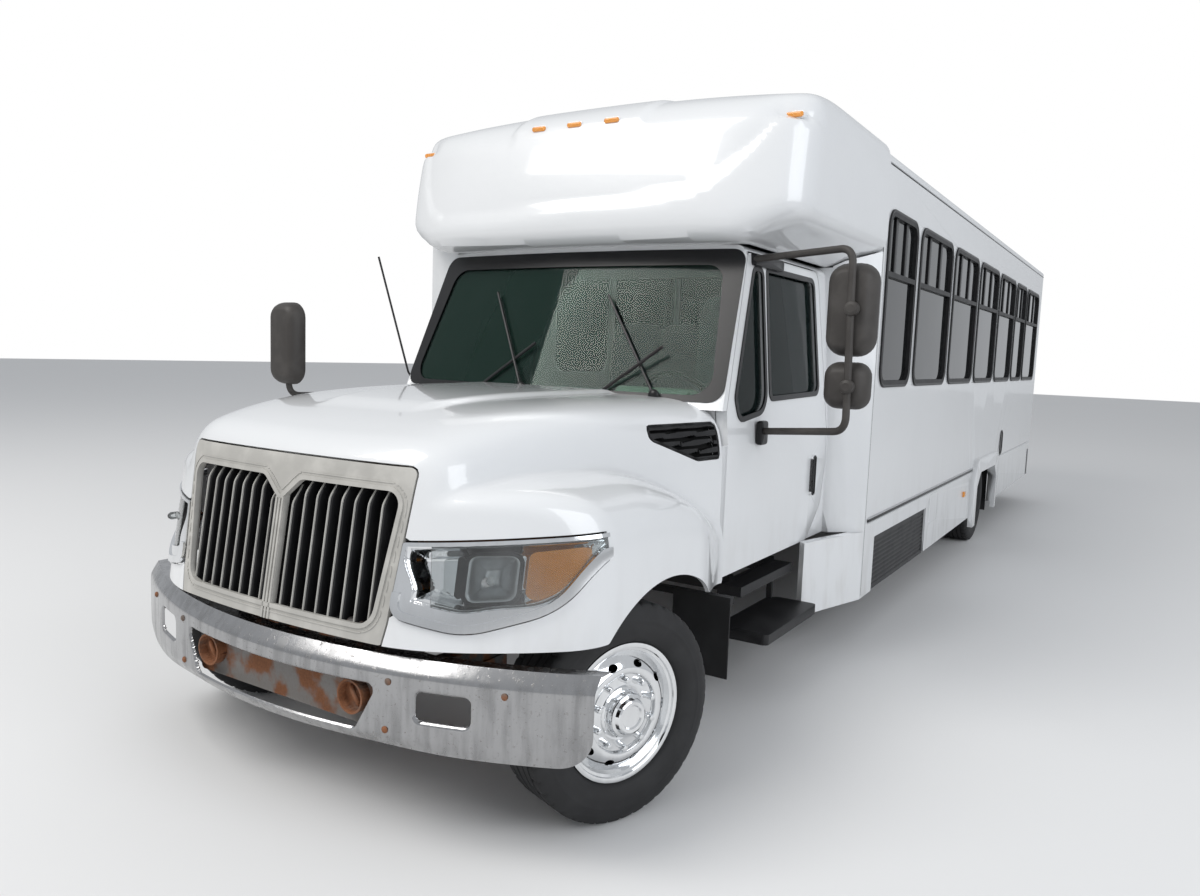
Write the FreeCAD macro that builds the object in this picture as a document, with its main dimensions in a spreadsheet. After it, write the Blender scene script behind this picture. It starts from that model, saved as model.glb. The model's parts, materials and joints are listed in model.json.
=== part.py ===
import FreeCAD, Part
import math
import os
import re

import Sketcher

# Minibus on a conventional truck chassis.
# Frame: +Z up, the bus faces -Y, +X is the driver's side, origin on the ground at the middle of the bus.
# Lengths along the bus are counted from the front axle, rearwards; each piece is then moved by front_axle_y.

V = FreeCAD.Vector
doc = FreeCAD.newDocument("Minibus")
sheet = doc.addObject("Spreadsheet::Sheet", "Sizes")

# name, millimetres or degrees
SIZES = [
    ("front_axle_y", -4790), ("wheelbase", 6770), ("half_width", 1219), ("wall", 40), ("fit_gap", 0.3),
    ("seam_gap", 0.8),
    ("door_gap", 6), ("barrel", 8.2),
    # wheels and steering
    ("tyre_radius", 419), ("tyre_width", 245), ("rim_radius", 250), ("rim_width", 190), ("rim_wall", 14),
    ("flange_height", 15), ("hub_radius", 105), ("kingpin_x", 930), ("front_wheel_x", 1020),
    ("steer_angle", 20.5), ("rear_outer_x", 1040), ("dual_spacing", 290), ("spindle_radius", 38),
    ("kingpin_radius", 45), ("tyre_sides", 48),
    # frame rails
    ("rail_x", 432), ("rail_flange", 80), ("rail_web", 8), ("rail_bottom", 606), ("rail_top", 860),
    ("rail_front", -600), ("rail_rear", 10120),
    # floor and passenger box
    ("floor_top", 950), ("box_front", 2600), ("box_rear", 10200), ("skirt_front", 300), ("skirt_rear", 360),
    ("drip", 2935), ("roof_crown", 3085), ("rear_bumper_back", 10400),
    ("window_low", 1600), ("window_high", 2680), ("window_corner", 120), ("window_frame", 42),
    ("slider_split", 2290), ("arch_front", 6230), ("arch_rear", 7320), ("arch_top", 740), ("flare_out", 42),
    # cab
    ("cab_front", 965), ("cab_belt_x", 1010), ("cab_top_x", 930), ("belt", 1350), ("cab_sill", 722),
    ("cab_roof", 2300), ("cab_wall", 55), ("cab_rear", 2415),
    ("screen_low", 1555), ("screen_high", 2245), ("screen_low_half", 962), ("screen_high_half", 892),
    ("screen_low_y", 925), ("screen_high_y", 1225), ("screen_bow", 75), ("glass", 8),
    # entry side
    ("entry_front", 1480), ("entry_rear", 2440), ("entry_low", 330), ("entry_high", 2330), ("return_y", 1370),
    # hood
    ("hood_half", 1150), ("hood_rear", 950), ("hood_wall", 16), ("hood_low", 748), ("nose_y", -800),
    ("arch_y", 155), ("arch_z", 220), ("arch_radius", 680), ("hood_pivot_y", -740), ("hood_pivot_z", 790),
    ("hinge_x", 405), ("hinge_arm", 30), ("pivot_pin", 12), ("pivot_ear", 17),
    ("grille_half_top", 612), ("grille_half_low", 553), ("grille_top", 1355), ("grille_low", 742),
    ("grille_rim", 50), ("grille_bar_pitch", 58), ("grille_bar", 14),
    ("louvre_front", 430), ("louvre_rear", 930), ("louvre_low", 1285), ("louvre_high", 1452), ("louvre_slats", 4),
    # bumper
    ("bumper_y", -820), ("bumper_arc", 2450), ("bumper_half", 1235), ("bumper_low", 390), ("bumper_high", 705),
    ("bumper_depth", 92), ("bumper_wall", 8), ("socket_x", 400), ("socket_z", 530), ("socket_radius", 54),
    ("socket_depth", 34),
    # front cap
    ("cap_low", 2300), ("cap_side_low", 2405), ("cap_lip_y", 1010), ("cap_wall", 22),
]
for row, (alias, number) in enumerate(SIZES, 1):
    sheet.set("A%d" % row, alias)
    sheet.set("B%d" % row, str(number))
    sheet.setAlias("B%d" % row, alias)
doc.recompute()
NAMES = {alias for alias, number in SIZES}


class Sizes:
    """The sheet's values as attributes."""
    def __getattr__(self, alias):
        return float(sheet.get(alias))


s = Sizes()
PARTS = []


# Bound primitives
def bound(text):
    """An expression in which the sheet's names are found."""
    return re.sub(r"[a-z_]+", lambda m: "Sizes." + m.group(0) if m.group(0) in NAMES else m.group(0), str(text))


def bind(obj, **sizes):
    for name, text in sizes.items():
        obj.setExpression(name, bound(text))
    return obj


def place(obj, x, y, z):
    for axis, text in (("x", x), ("y", y), ("z", z)):
        obj.setExpression(".Placement.Base." + axis, bound(text))
    return obj


def block(name, x, y, z, length, width, height):
    """A box by its low corner, y counted from the front axle, and its sizes along X, Y and Z."""
    obj = bind(doc.addObject("Part::Box", name), Length=length, Width=width, Height=height)
    return place(obj, x, "front_axle_y + (%s)" % y, z)


AXIS_TURN = {"x": FreeCAD.Rotation(V(0, 1, 0), 90), "y": FreeCAD.Rotation(V(1, 0, 0), -90), "z": FreeCAD.Rotation()}


def rod(name, axis, x, y, z, radius, length):
    """A cylinder from a start point along a row axis."""
    obj = bind(doc.addObject("Part::Cylinder", name), Radius=radius, Height=length)
    obj.Placement = FreeCAD.Placement(V(), AXIS_TURN[axis])
    return place(obj, x, "front_axle_y + (%s)" % y, z)


def join(name, *pieces):
    obj = doc.addObject("Part::MultiFuse", name)
    obj.Shapes = list(pieces)
    return obj


def part(node, obj):
    """Names a finished sub-part."""
    obj.Label = node
    PARTS.append(obj)
    return obj


# Bodies with sketches
def sketch(body, role, corners):
    """Closed outline of straight edges on an origin plane; both coordinates of each corner are bound."""
    outline = body.newObject("Sketcher::SketchObject", body.Name + "_outline_%d" % len(body.Group))
    plane = [f for f in body.Origin.OriginFeatures if f.Role == role][0]
    outline.AttachmentSupport = [(plane, "")]
    outline.MapMode = "FlatFace"
    count = len(corners)
    # The first shape is any ring of points: the bound distances then put each corner in its place.
    ring = [V(100 * math.cos(2 * math.pi * i / count), 100 * math.sin(2 * math.pi * i / count), 0)
            for i in range(count)]
    for i in range(count):
        outline.addGeometry(Part.LineSegment(ring[i], ring[(i + 1) % count]), False)
    for i in range(count):
        outline.addConstraint(Sketcher.Constraint("Coincident", i, 2, (i + 1) % count, 1))
    for i, (u, w) in enumerate(corners):
        for kind, text, start in (("DistanceX", u, ring[i].x), ("DistanceY", w, ring[i].y)):
            index = outline.addConstraint(Sketcher.Constraint(kind, -1, 1, i, 1, start))
            outline.setExpression("Constraints[%d]" % index, bound(text))
    return outline


def turned(name, corners):
    """A body of revolution about its own X axis; corners are (distance outwards, radius)."""
    body = doc.addObject("PartDesign::Body", name)
    outline = sketch(body, "XZ_Plane", corners)
    doc.recompute()
    turn = body.newObject("PartDesign::Revolution", name + "_turn")
    turn.Profile = outline
    turn.ReferenceAxis = (outline, ["H_Axis"])
    turn.Angle = 360
    return body


# Shapes from outlines of lines and arcs
def rounded(points):
    """Edges of a closed outline; a corner (point, radius) is rounded by a tangent arc."""
    count = len(points)
    ends = []
    for i in range(count):
        here, radius = points[i]
        if radius <= 0:
            ends.append((here, None, here))
            continue
        back = (points[i - 1][0] - here).normalize()
        on = (points[(i + 1) % count][0] - here).normalize()
        half = back.getAngle(on) / 2
        reach = radius / math.tan(half)
        middle = (back + on).normalize()
        centre = here + middle * (radius / math.sin(half))
        ends.append((here + back * reach, centre - middle * radius, here + on * reach))
    edges = []
    for i in range(count):
        first, through, last = ends[i]
        if through is not None:
            edges.append(Part.Arc(first, through, last).toShape())
        start = ends[(i + 1) % count][0]
        if last.distanceToPoint(start) > 1e-4:
            edges.append(Part.makeLine(last, start))
    return edges


def point(axis, at, u, w):
    return {"x": V(at, u, w), "y": V(u, at, w), "z": V(u, w, at)}[axis]


def wire(axis, at, corners):
    """A closed wire square to an axis; each corner is (u, w) or (u, w, radius)."""
    return Part.Wire(rounded([(point(axis, at, c[0], c[1]), c[2] if len(c) > 2 else 0) for c in corners]))


def prism(axis, start, end, corners):
    face = Part.Face(wire(axis, start, corners))
    return face.extrude(point(axis, end - start, 0, 0))


def box(x0, x1, y0, y1, z0, z1):
    return Part.makeBox(x1 - x0, y1 - y0, z1 - z0, V(x0, y0, z0))


def loft(wires):
    """A closed solid of straight runs from each wire to the next."""
    return Part.makeLoft(wires, True, True)


def cut_all(shape, tools):
    for tool in tools:
        shape = shape.cut(tool)
    return shape


def fuse_all(shapes):
    return shapes[0].multiFuse(shapes[1:]).removeSplitter() if len(shapes) > 1 else shapes[0]


def solids(shape):
    return shape.Solids


def feature(node, shape):
    """A sub-part with a shape set directly, modelled from the front axle and then moved into place."""
    pieces = shape if isinstance(shape, list) else solids(shape)
    obj = doc.addObject("Part::Feature", node)
    obj.Shape = pieces[0] if len(pieces) == 1 else Part.makeCompound(pieces)
    obj.Placement = FreeCAD.Placement(V(0, s.front_axle_y, 0), FreeCAD.Rotation()).multiply(obj.Placement)
    return part(node, obj)


# Frame rails, crossmembers and springs
def rail(name, side):
    x0 = "rail_x - rail_flange" if side > 0 else "-rail_x"
    web = "rail_x - rail_web" if side > 0 else "-rail_x"
    length = "rail_rear - rail_front"
    return [
        block(name + "_top", x0, "rail_front", "rail_top - rail_web", "rail_flange", length, "rail_web"),
        block(name + "_low", x0, "rail_front", "rail_bottom", "rail_flange", length, "rail_web"),
        block(name + "_web", web, "rail_front", "rail_bottom", "rail_web", length, "rail_top - rail_bottom")]


CROSSMEMBERS = (-590, 1500, 3000, 4600, 5900, 7700, 9900)


def chassis():
    pieces = rail("left_rail", 1) + rail("right_rail", -1)
    for i, y in enumerate(CROSSMEMBERS):
        pieces.append(block("cross_%d" % i, "-rail_x + rail_web", y, "rail_top - 110",
                            "2 * rail_x - 2 * rail_web", 90, 102))
    # Tilt brackets of the hood: two arms that run forward from the first crossmember, each with its pin.
    for name, x in (("left", "hinge_x - 25 - fit_gap"), ("right", "-hinge_x + fit_gap")):
        pieces.append(block("tilt_arm_" + name, x, "hood_pivot_y", "hood_pivot_z - pivot_ear", 25,
                            "rail_front + 20 - hood_pivot_y", "2 * pivot_ear"))
        pieces.append(rod("tilt_ear_" + name, "x", x, "hood_pivot_y", "hood_pivot_z", "pivot_ear", 25))
    for name, x in (("left", "hinge_x - 20"), ("right", "-hinge_x - hinge_arm - 5")):
        pieces.append(rod("tilt_pin_" + name, "x", x, "hood_pivot_y", "hood_pivot_z", "pivot_pin", "hinge_arm + 25"))
    for i, x in enumerate(("270", "-rail_x + rail_web")):
        pieces.append(block("engine_mount_%d" % i, x, 0, "rail_bottom + 40", "rail_x - rail_web - 270", 60, 60))
    part("chassis_frame", join("chassis", *pieces))


def leaf_pack(name, x, y, low, span, sag):
    """One leaf spring: two arcs over its span, and eyes that reach the rail."""
    width = 70
    corners_low = V(0, y - span / 2, low + sag)
    outer = Part.Arc(corners_low, V(0, y, low), V(0, y + span / 2, low + sag)).toShape()
    inner = Part.Arc(V(0, y + span / 2, low + sag + 38), V(0, y, low + 60), V(0, y - span / 2, low + sag + 38))
    ends = [Part.makeLine(outer.Vertexes[-1].Point, V(0, y + span / 2, low + sag + 38)),
            Part.makeLine(V(0, y - span / 2, low + sag + 38), corners_low)]
    face = Part.Face(Part.Wire([outer, ends[0], inner.toShape(), ends[1]]))
    leaf = face.extrude(V(width, 0, 0))
    leaf.translate(V(x - width / 2, 0, 0))
    hangers = [box(x - width / 2, x + width / 2, y + end * (span / 2 - 30) - 30, y + end * (span / 2 - 30) + 30,
                   low + sag + 10, s.rail_bottom) for end in (-1, 1)]
    return fuse_all([leaf] + hangers)


def springs():
    front_seat = 470
    rear_seat = 419 + 72
    x = s.rail_x - s.rail_flange / 2
    pieces = []
    for side in (-1, 1):
        pieces.append(leaf_pack("front", side * x, 0, front_seat, 1180, 60))
        pieces.append(leaf_pack("rear", side * x, s.wheelbase, rear_seat, 1300, 50))
    feature("leaf_springs", pieces)


def front_axle():
    """Dropped beam between the kingpins, with the pads that carry the springs."""
    centre = s.tyre_radius
    drop = 75
    half = s.kingpin_x
    beam = prism("y", -42, 42, [
        (-half, centre - 45), (-half + 130, centre - 45), (-half + 300, centre - 45 - drop),
        (half - 300, centre - 45 - drop), (half - 130, centre - 45), (half, centre - 45),
        (half, centre + 45), (half - 160, centre + 45), (half - 330, centre + 45 - drop),
        (-half + 330, centre + 45 - drop), (-half + 160, centre + 45), (-half, centre + 45)])
    pieces = [beam]
    pad_x = s.rail_x - s.rail_flange / 2
    for side in (-1, 1):
        pieces.append(Part.makeCylinder(s.kingpin_radius, 90, V(side * half, 0, centre - 45)))
        pieces.append(box(side * pad_x - 45, side * pad_x + 45, -80, 80, centre + 20 - drop, 470))
    feature("front_axle", fuse_all(pieces))


def knuckle(node, side):
    """Yokes above and below the axle's end, and the spindle on which the wheel turns."""
    centre = s.tyre_radius
    turn = math.radians(s.steer_angle)
    radius = s.kingpin_radius
    seat = 45 + s.fit_gap
    thick = 34
    pieces = [box(radius + 6, radius + 34, -radius, radius, -seat - thick, seat + thick)]
    for z in (seat, -seat - thick):
        pieces.append(Part.makeCylinder(radius, thick, V(0, 0, z)))
        pieces.append(box(0, radius + 34, -radius, radius, z, z + thick))
    pieces.append(Part.makeCylinder(s.spindle_radius, 150, V(radius + 20, 0, 0), V(1, 0, 0)))
    shape = fuse_all(pieces)
    if side < 0:
        shape.rotate(V(), V(0, 0, 1), 180)
    shape.rotate(V(), V(0, 0, 1), -math.degrees(turn))
    shape.translate(V(side * s.kingpin_x, 0, centre))
    feature(node, shape)


def rear_axle():
    centre = s.tyre_radius
    y = s.wheelbase
    reach = s.rear_outer_x - s.dual_spacing / 2 + 40
    half = [(reach, 0), (reach, s.spindle_radius), (600, s.spindle_radius), (600, 68), (215, 68), (130, 150),
            (60, 185)]
    outline = [V(x, y, centre + r) for x, r in half] + [V(-x, y, centre + r) for x, r in reversed(half)]
    housing = Part.Face(Part.makePolygon(outline + outline[:1]))
    pieces = [housing.revolve(V(0, y, centre), V(1, 0, 0), 360), Part.makeCylinder(110, 230, V(0, y, centre), V(0, -1, 0))]
    front_end, rear_end = V(0, 1465, 680), V(0, y - 225, centre)
    run = front_end - rear_end
    pieces.append(Part.makeCylinder(48, run.Length, rear_end, run))
    pad_x = s.rail_x - s.rail_flange / 2
    for side in (-1, 1):
        pieces.append(box(side * pad_x - 45, side * pad_x + 45, y - 80, y + 80, centre, centre + 72))
    feature("rear_axle", fuse_all(pieces))


# Wheels and tyres, each a body of revolution about its axle
def wheel_seat(obj, x, y, turn):
    obj.Placement = FreeCAD.Placement(V(x, s.front_axle_y + y, s.tyre_radius), FreeCAD.Rotation(V(0, 0, 1), turn))


RIM = [("-rim_width / 2", "rim_radius + flange_height"), ("-rim_width / 2 + 10", "rim_radius + flange_height"),
       ("-rim_width / 2 + 10", "rim_radius"), ("rim_width / 2 - 10", "rim_radius"),
       ("rim_width / 2 - 10", "rim_radius + flange_height"), ("rim_width / 2", "rim_radius + flange_height")]


def front_wheel_corners():
    """Rim, disc that bulges outwards, lug flat and hub cap."""
    return RIM + [
        ("rim_width / 2", "rim_radius - rim_wall"), ("62", "rim_radius - rim_wall"), ("96", "hub_radius + 70"),
        ("84", "hub_radius + 12"), ("84", "hub_radius - 12"), ("128", "hub_radius - 24"), ("148", "hub_radius - 62"),
        ("148", "0"), ("126", "0"), ("126", "spindle_radius + fit_gap"), ("40", "spindle_radius + fit_gap"),
        ("40", "rim_radius - rim_wall"), ("-rim_width / 2", "rim_radius - rim_wall")]


def rear_wheel_corners():
    """Two rims on one disc; the outer rim's disc is dished inwards and the hub stands out of it."""
    inner = [("-dual_spacing %s" % u.replace("-rim", "- rim") if u.startswith("-") else "-dual_spacing + %s" % u, w)
             for u, w in RIM]
    return inner + [("-dual_spacing / 2 - 12", "rim_radius - 4"), ("-dual_spacing / 2 + 12", "rim_radius - 4")] + RIM + [
        ("rim_width / 2", "rim_radius - rim_wall"), ("-70", "rim_radius - rim_wall - 6"),
        ("-112", "hub_radius + 90"), ("-118", "hub_radius + 20"), ("20", "hub_radius"), ("62", "hub_radius - 12"),
        ("70", "0"), ("45", "0"), ("45", "spindle_radius + fit_gap"),
        ("-dual_spacing / 2 - 110", "spindle_radius + fit_gap"), ("-dual_spacing / 2 - 110", "hub_radius + 80"),
        ("-dual_spacing / 2 + 2", "hub_radius + 100"), ("-dual_spacing / 2 + 2", "rim_radius - rim_wall - 10"),
        ("-dual_spacing - rim_width / 2", "rim_radius - rim_wall")]


def tyre_ring(x, radius):
    """A regular outline about the X axis whose flats, one of them at the very bottom, lie at a radius."""
    step = 2 * math.pi / s.tyre_sides
    reach = radius / math.cos(step / 2)
    corners = [V(x, reach * math.sin((i + 0.5) * step), -reach * math.cos((i + 0.5) * step))
               for i in range(int(s.tyre_sides))]
    return Part.makePolygon(corners + corners[:1])


def tyre(shift):
    """Bead, bulging wall, shoulder and a flat tread, about the X axis."""
    bead, wide = s.rim_width / 2 - 11, s.tyre_width / 2
    half = [(bead, s.rim_radius + s.flange_height + 2), (wide - 6, s.rim_radius + 45), (wide, s.rim_radius + 85),
            (wide - 4, s.tyre_radius - 42), (wide - 16, s.tyre_radius - 12), (wide - 30, s.tyre_radius)]
    profile = half + [(-x, r) for x, r in reversed(half)]
    solid = loft([Part.Wire(tyre_ring(shift + x, r)) for x, r in profile])
    return solid.cut(Part.makeCylinder(s.rim_radius + s.fit_gap, 2 * wide, V(shift - wide, 0, 0), V(1, 0, 0)))


def seated(shape, x, y, turn):
    """A shape made about the origin, turned about the vertical and set on its wheel's centre."""
    shape.rotate(V(), V(0, 0, 1), turn)
    shape.translate(V(x, y, s.tyre_radius))
    return shape


def hand_holes(body, radius, count, hole):
    """Round holes through the disc, one cut and then repeated about the axle."""
    doc.recompute()
    outline = body.newObject("Sketcher::SketchObject", body.Name + "_hole")
    plane = [f for f in body.Origin.OriginFeatures if f.Role == "YZ_Plane"][0]
    outline.AttachmentSupport = [(plane, "")]
    outline.MapMode = "FlatFace"
    outline.addGeometry(Part.Circle(V(radius, 0, 0), V(0, 0, 1), hole), False)
    outline.addConstraint(Sketcher.Constraint("Radius", 0, hole))
    outline.addConstraint(Sketcher.Constraint("DistanceX", -1, 1, 0, 3, radius))
    outline.addConstraint(Sketcher.Constraint("PointOnObject", 0, 3, -1))
    doc.recompute()
    pocket = body.newObject("PartDesign::Pocket", body.Name + "_pocket")
    pocket.Profile = outline
    pocket.Type = 1
    pocket.Midplane = True
    doc.recompute()
    pattern = body.newObject("PartDesign::PolarPattern", body.Name + "_ring")
    pattern.Originals = [pocket]
    pattern.Axis = (outline, ["N_Axis"])
    pattern.Angle = 360
    pattern.Occurrences = count
    body.Tip = pattern


def wheels():
    offset = s.front_wheel_x - s.kingpin_x
    turn = math.radians(s.steer_angle)
    for side, name, angle in ((1, "left", -s.steer_angle), (-1, "right", 180 - s.steer_angle)):
        x = side * (s.kingpin_x + offset * math.cos(turn))
        y = -side * offset * math.sin(turn)
        wheel = turned(name + "_front_wheel", front_wheel_corners())
        hand_holes(wheel, s.hub_radius + 78, 10, 17)
        rear = turned(name + "_rear_wheels", rear_wheel_corners())
        hand_holes(rear, s.hub_radius + 60, 8, 22)
        wheel_seat(wheel, x, y, angle)
        rear_turn = 0 if side > 0 else 180
        wheel_seat(rear, side * s.rear_outer_x, s.wheelbase, rear_turn)
        part(name + "_front_wheel", wheel)
        part(name + "_rear_wheels", rear)
        feature(name + "_front_tyre", seated(tyre(0), x, y, angle))
        feature(name + "_rear_tyres", [seated(tyre(shift), side * s.rear_outer_x, s.wheelbase, rear_turn)
                                       for shift in (0, -s.dual_spacing)])


# Engine, tank and exhaust
def drive():
    pieces = [box(-270, 270, -260, 620, 560, 1180), box(-220, 220, -200, 560, 1180, 1250),
              Part.makeCone(260, 150, 420, V(0, 620, 700), V(0, 1, 0)),
              Part.makeCylinder(120, 460, V(0, 1000, 690), V(0, 1, 0))]
    feature("engine", fuse_all(pieces))
    part("radiator", block("radiator_core", -400, -520, "rail_top", 800, 70, 370))


def tank_and_exhaust():
    tank = prism("y", 4380, 5600, [(500, 340, 60), (1090, 340, 60), (1090, 760, 60), (500, 760, 60)])
    hangers = [box(s.rail_x, 520, y, y + 60, 640, 800) for y in (4600, 5300)]
    feature("fuel_tank", fuse_all([tank] + hangers))
    z = 500
    x = -600
    pieces = [Part.makeCylinder(110, 1250, V(x, 3200, z), V(0, 1, 0)),
              Part.makeCylinder(45, 2300, V(x, 900, z), V(0, 1, 0)),
              Part.makeCylinder(45, 1350, V(x, 4450, z), V(0, 1, 0)),
              Part.makeSphere(45, V(x, 5800, z)),
              Part.makeCylinder(45, 560, V(x, 5800, z), V(-1, 0, 0)),
              box(x - 30, -s.rail_x, 3400, 3440, 590, 680), box(x - 30, -s.rail_x, 4200, 4240, 590, 680)]
    feature("exhaust", fuse_all(pieces))


# Bumper
def bumper_plan(inset, depth):
    """Plan of the bumper: one large arc in front and its ends turned back."""
    half = s.bumper_half - inset
    face = s.bumper_y + inset
    radius = s.bumper_arc - inset
    sag = radius - math.sqrt(radius ** 2 - half ** 2)
    front = Part.Arc(V(-half, face + sag, 0), V(0, face, 0), V(half, face + sag, 0)).toShape()
    back_face = face + depth
    back = Part.Arc(V(half, back_face + sag, 0), V(0, back_face, 0), V(-half, back_face + sag, 0)).toShape()
    sides = [Part.makeLine(V(half, face + sag, 0), V(half, back_face + sag, 0)),
             Part.makeLine(V(-half, back_face + sag, 0), V(-half, face + sag, 0))]
    return Part.Face(Part.Wire([front, sides[0], back, sides[1]]))


def bumper():
    tall = s.bumper_high - s.bumper_low
    outer = bumper_plan(0, s.bumper_depth).extrude(V(0, 0, tall))
    outer.translate(V(0, 0, s.bumper_low))
    inner = bumper_plan(s.bumper_wall, s.bumper_depth + 200).extrude(V(0, 0, tall - 2 * s.bumper_wall))
    inner.translate(V(0, 0, s.bumper_low + s.bumper_wall))
    shell = outer.cut(inner)
    opening = prism("y", s.bumper_y - 50, s.bumper_y + 250, [
        (-525, 600, 18), (-440, 435, 18), (440, 435, 18), (525, 600, 18)])
    shell = shell.cut(opening)
    for side in (-1, 1):
        slot = prism("y", s.bumper_y - 50, s.bumper_y + 300, [
            (side * 670, 500, 22), (side * 860, 500, 22), (side * 860, 600, 22), (side * 670, 600, 22)])
        shell = shell.cut(slot)
    # Pads under the top flange, which sit on the two arms.
    pads = [box(side * (s.rail_x - 30) - 20, side * (s.rail_x - 30) + 20, s.bumper_y + 104, s.bumper_y + 120,
                s.rail_bottom + 60 + s.fit_gap, s.bumper_high - s.bumper_wall + 1) for side in (-1, 1)]
    feature("front_bumper", fuse_all([shell] + pads))
    sockets = []
    # Cross plate behind the opening with the two arms that reach the rails, and a socket on it at each end.
    back = s.bumper_y + 104
    pieces = [prism("y", back - 4, back + 8, [(-500, 425, 20), (500, 425, 20), (500, 640, 20), (-500, 640, 20)])]
    for side in (-1, 1):
        arm_x = side * (s.rail_x - 30)
        pieces.append(box(arm_x - 25, arm_x + 25, back, s.rail_front, 560, s.rail_bottom + 60))
        centre = V(side * s.socket_x, back - 44, s.socket_z)
        tube_wall = Part.makeCylinder(s.socket_radius + 8, 40, centre, V(0, 1, 0))
        sockets.append(tube_wall.cut(Part.makeCylinder(s.socket_radius, s.socket_depth, centre, V(0, 1, 0))))
    feature("tow_plate", fuse_all(pieces))
    feature("tow_sockets", sockets)


# Hood with fenders
# y from the axle, half width, shoulder height, crown height
HOOD_CENTRE = ((-840, 600, 1235, 1285), (-300, 690, 1432, 1506), (300, 850, 1462, 1535), (990, 1002, 1478, 1556))
# y from the axle, crest height, height of the inner edge
FENDER = ((-840, 1205, 1215), (-300, 1300, 1290), (200, 1268, 1262), (990, 1030, 1170))


def hood_form(inset):
    """The hood's outer form, or the same form drawn in by a wall."""
    low = 400
    sections = []
    for y, half, shoulder, crown in HOOD_CENTRE:
        w, top, mid = half - inset, shoulder - inset, crown - inset
        sections.append(wire("y", y, [(-w, low), (-w, top, 90), (0, mid, 1500), (w, top, 90), (w, low)]))
    form = loft(sections)
    for side in (-1, 1):
        wires = []
        for y, crest, inner in FENDER:
            wires.append(wire("y", y, [
                (side * 450, low), (side * 450, inner - inset), (side * 1010, crest - inset, 240),
                (side * (s.hood_half - inset), crest - 210, 170), (side * (s.hood_half - inset), low)]))
        form = form.fuse(loft(wires))
    # Nose and flanks seen from above.
    half = s.hood_half - inset
    nose = s.nose_y + inset
    corner = 1040 - inset
    plan = [(-corner, s.hood_rear), (-half, 420, 700), (-half, -470 + inset, 360), (-620, -742 + inset, 260),
            (0, nose, 4000), (620, -742 + inset, 260), (half, -470 + inset, 360), (half, 420, 700),
            (corner, s.hood_rear)]
    form = form.common(prism("z", low - 10, 1700, plan))
    # Nose seen from the side: it leans back towards the top.
    side_view = [(nose, low), (nose, s.grille_low), (nose + 105, s.grille_top + 40, 60), (nose + 300, 1700),
                 (s.hood_rear + 1, 1700), (s.hood_rear + 1, low)]
    return form.common(prism("x", -1300, 1300, side_view))


def hood():
    outer = hood_form(0)
    inner = hood_form(s.hood_wall)
    shell = outer.cut(inner)
    # Lower edge, wheel arches and the open rear.
    under = prism("x", -1300, 1300, [(-900, 300), (-900, s.grille_low - 2), (-600, s.hood_low), (560, s.hood_low),
                                     (s.hood_rear + 60, 690), (s.hood_rear + 60, 300)])
    arch = Part.makeCylinder(s.arch_radius, 2600, V(-1300, s.arch_y, s.arch_z), V(1, 0, 0))
    shell = cut_all(shell, [under, arch])
    # The top ends where the windshield begins.
    screen = screen_band(s.screen_low - 200, s.screen_high, -60, 400)
    shell = shell.cut(screen)
    opening = grille_region(0)
    band = outer.cut(hood_form(46)).cut(under).cut(arch)
    lamps = []
    for side in (-1, 1):
        region = lamp_region(side, 0)
        lamps += solids(band.common(region))
        shell = shell.cut(lamp_region(side, -s.seam_gap))
    shell = shell.cut(opening)
    louvres = []
    inside = hood_form(26)
    for side in (-1, 1):
        shell = shell.cut(louvre_region(side, 0))
        grid = cut_all(hood_form(4).cut(inside).common(louvre_region(side, s.seam_gap)), louvre_slots(side))
        louvres.append(max(solids(grid), key=lambda piece: piece.Volume))
    main = max(solids(shell), key=lambda piece: piece.Volume)
    # Hinge arms inside the nose that reach the pivot.
    arm_middle = s.hinge_x + s.hinge_arm / 2
    arms = [prism("x", side * arm_middle - s.hinge_arm / 2, side * arm_middle + s.hinge_arm / 2, [
        (s.hood_pivot_y - 32, s.hood_pivot_z - 25), (s.hood_pivot_y + 30, s.hood_pivot_z - 25),
        (s.hood_pivot_y + 80, 1000), (s.hood_pivot_y + 30, 1000)]) for side in (-1, 1)]
    bore = Part.makeCylinder(s.pivot_pin + s.fit_gap, 1000, V(-500, s.hood_pivot_y, s.hood_pivot_z), V(1, 0, 0))
    notches = [box(side * (s.hinge_x - 15) - 15, side * (s.hinge_x - 15) + 15, s.hood_pivot_y - s.pivot_ear - 6,
                   -500, 600, s.hood_pivot_z + 42) for side in (-1, 1)]
    feature("hood", main)
    feature("hood_louvres", louvres)
    feature("headlamps", lamps)
    frame = band.common(opening)
    hole = prism("y", s.nose_y - 100, 0, [
        (-s.grille_half_low + s.grille_rim, 800 + 10, 60), (-s.grille_half_top + s.grille_rim + 14, 1290, 30),
        (-60, 1290, 20), (0, 1235, 20), (60, 1290, 20), (s.grille_half_top - s.grille_rim - 14, 1290, 30),
        (s.grille_half_low - s.grille_rim, 810, 60)])
    surround = fuse_all(solids(frame.cut(hole)) + [arm.cut(frame.common(hole)) for arm in arms])
    centre = prism("y", s.nose_y - 100, 0, [(-20, 790), (20, 790), (20, 1260), (-20, 1260)])
    surround = fuse_all([surround, frame.common(centre)])
    surround = cut_all(surround, notches + [bore])
    feature("grille_surround", surround)
    grille(frame, hole, surround)


def grille_region(gap):
    return prism("y", s.nose_y - 100, -560, [
        (-s.grille_half_low, s.grille_low), (-s.grille_half_low - 14, 820, 60), (-s.grille_half_top, s.grille_top - 8, 40),
        (s.grille_half_top, s.grille_top - 8, 40), (s.grille_half_low + 14, 820, 60), (s.grille_half_low, s.grille_low)])


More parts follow.
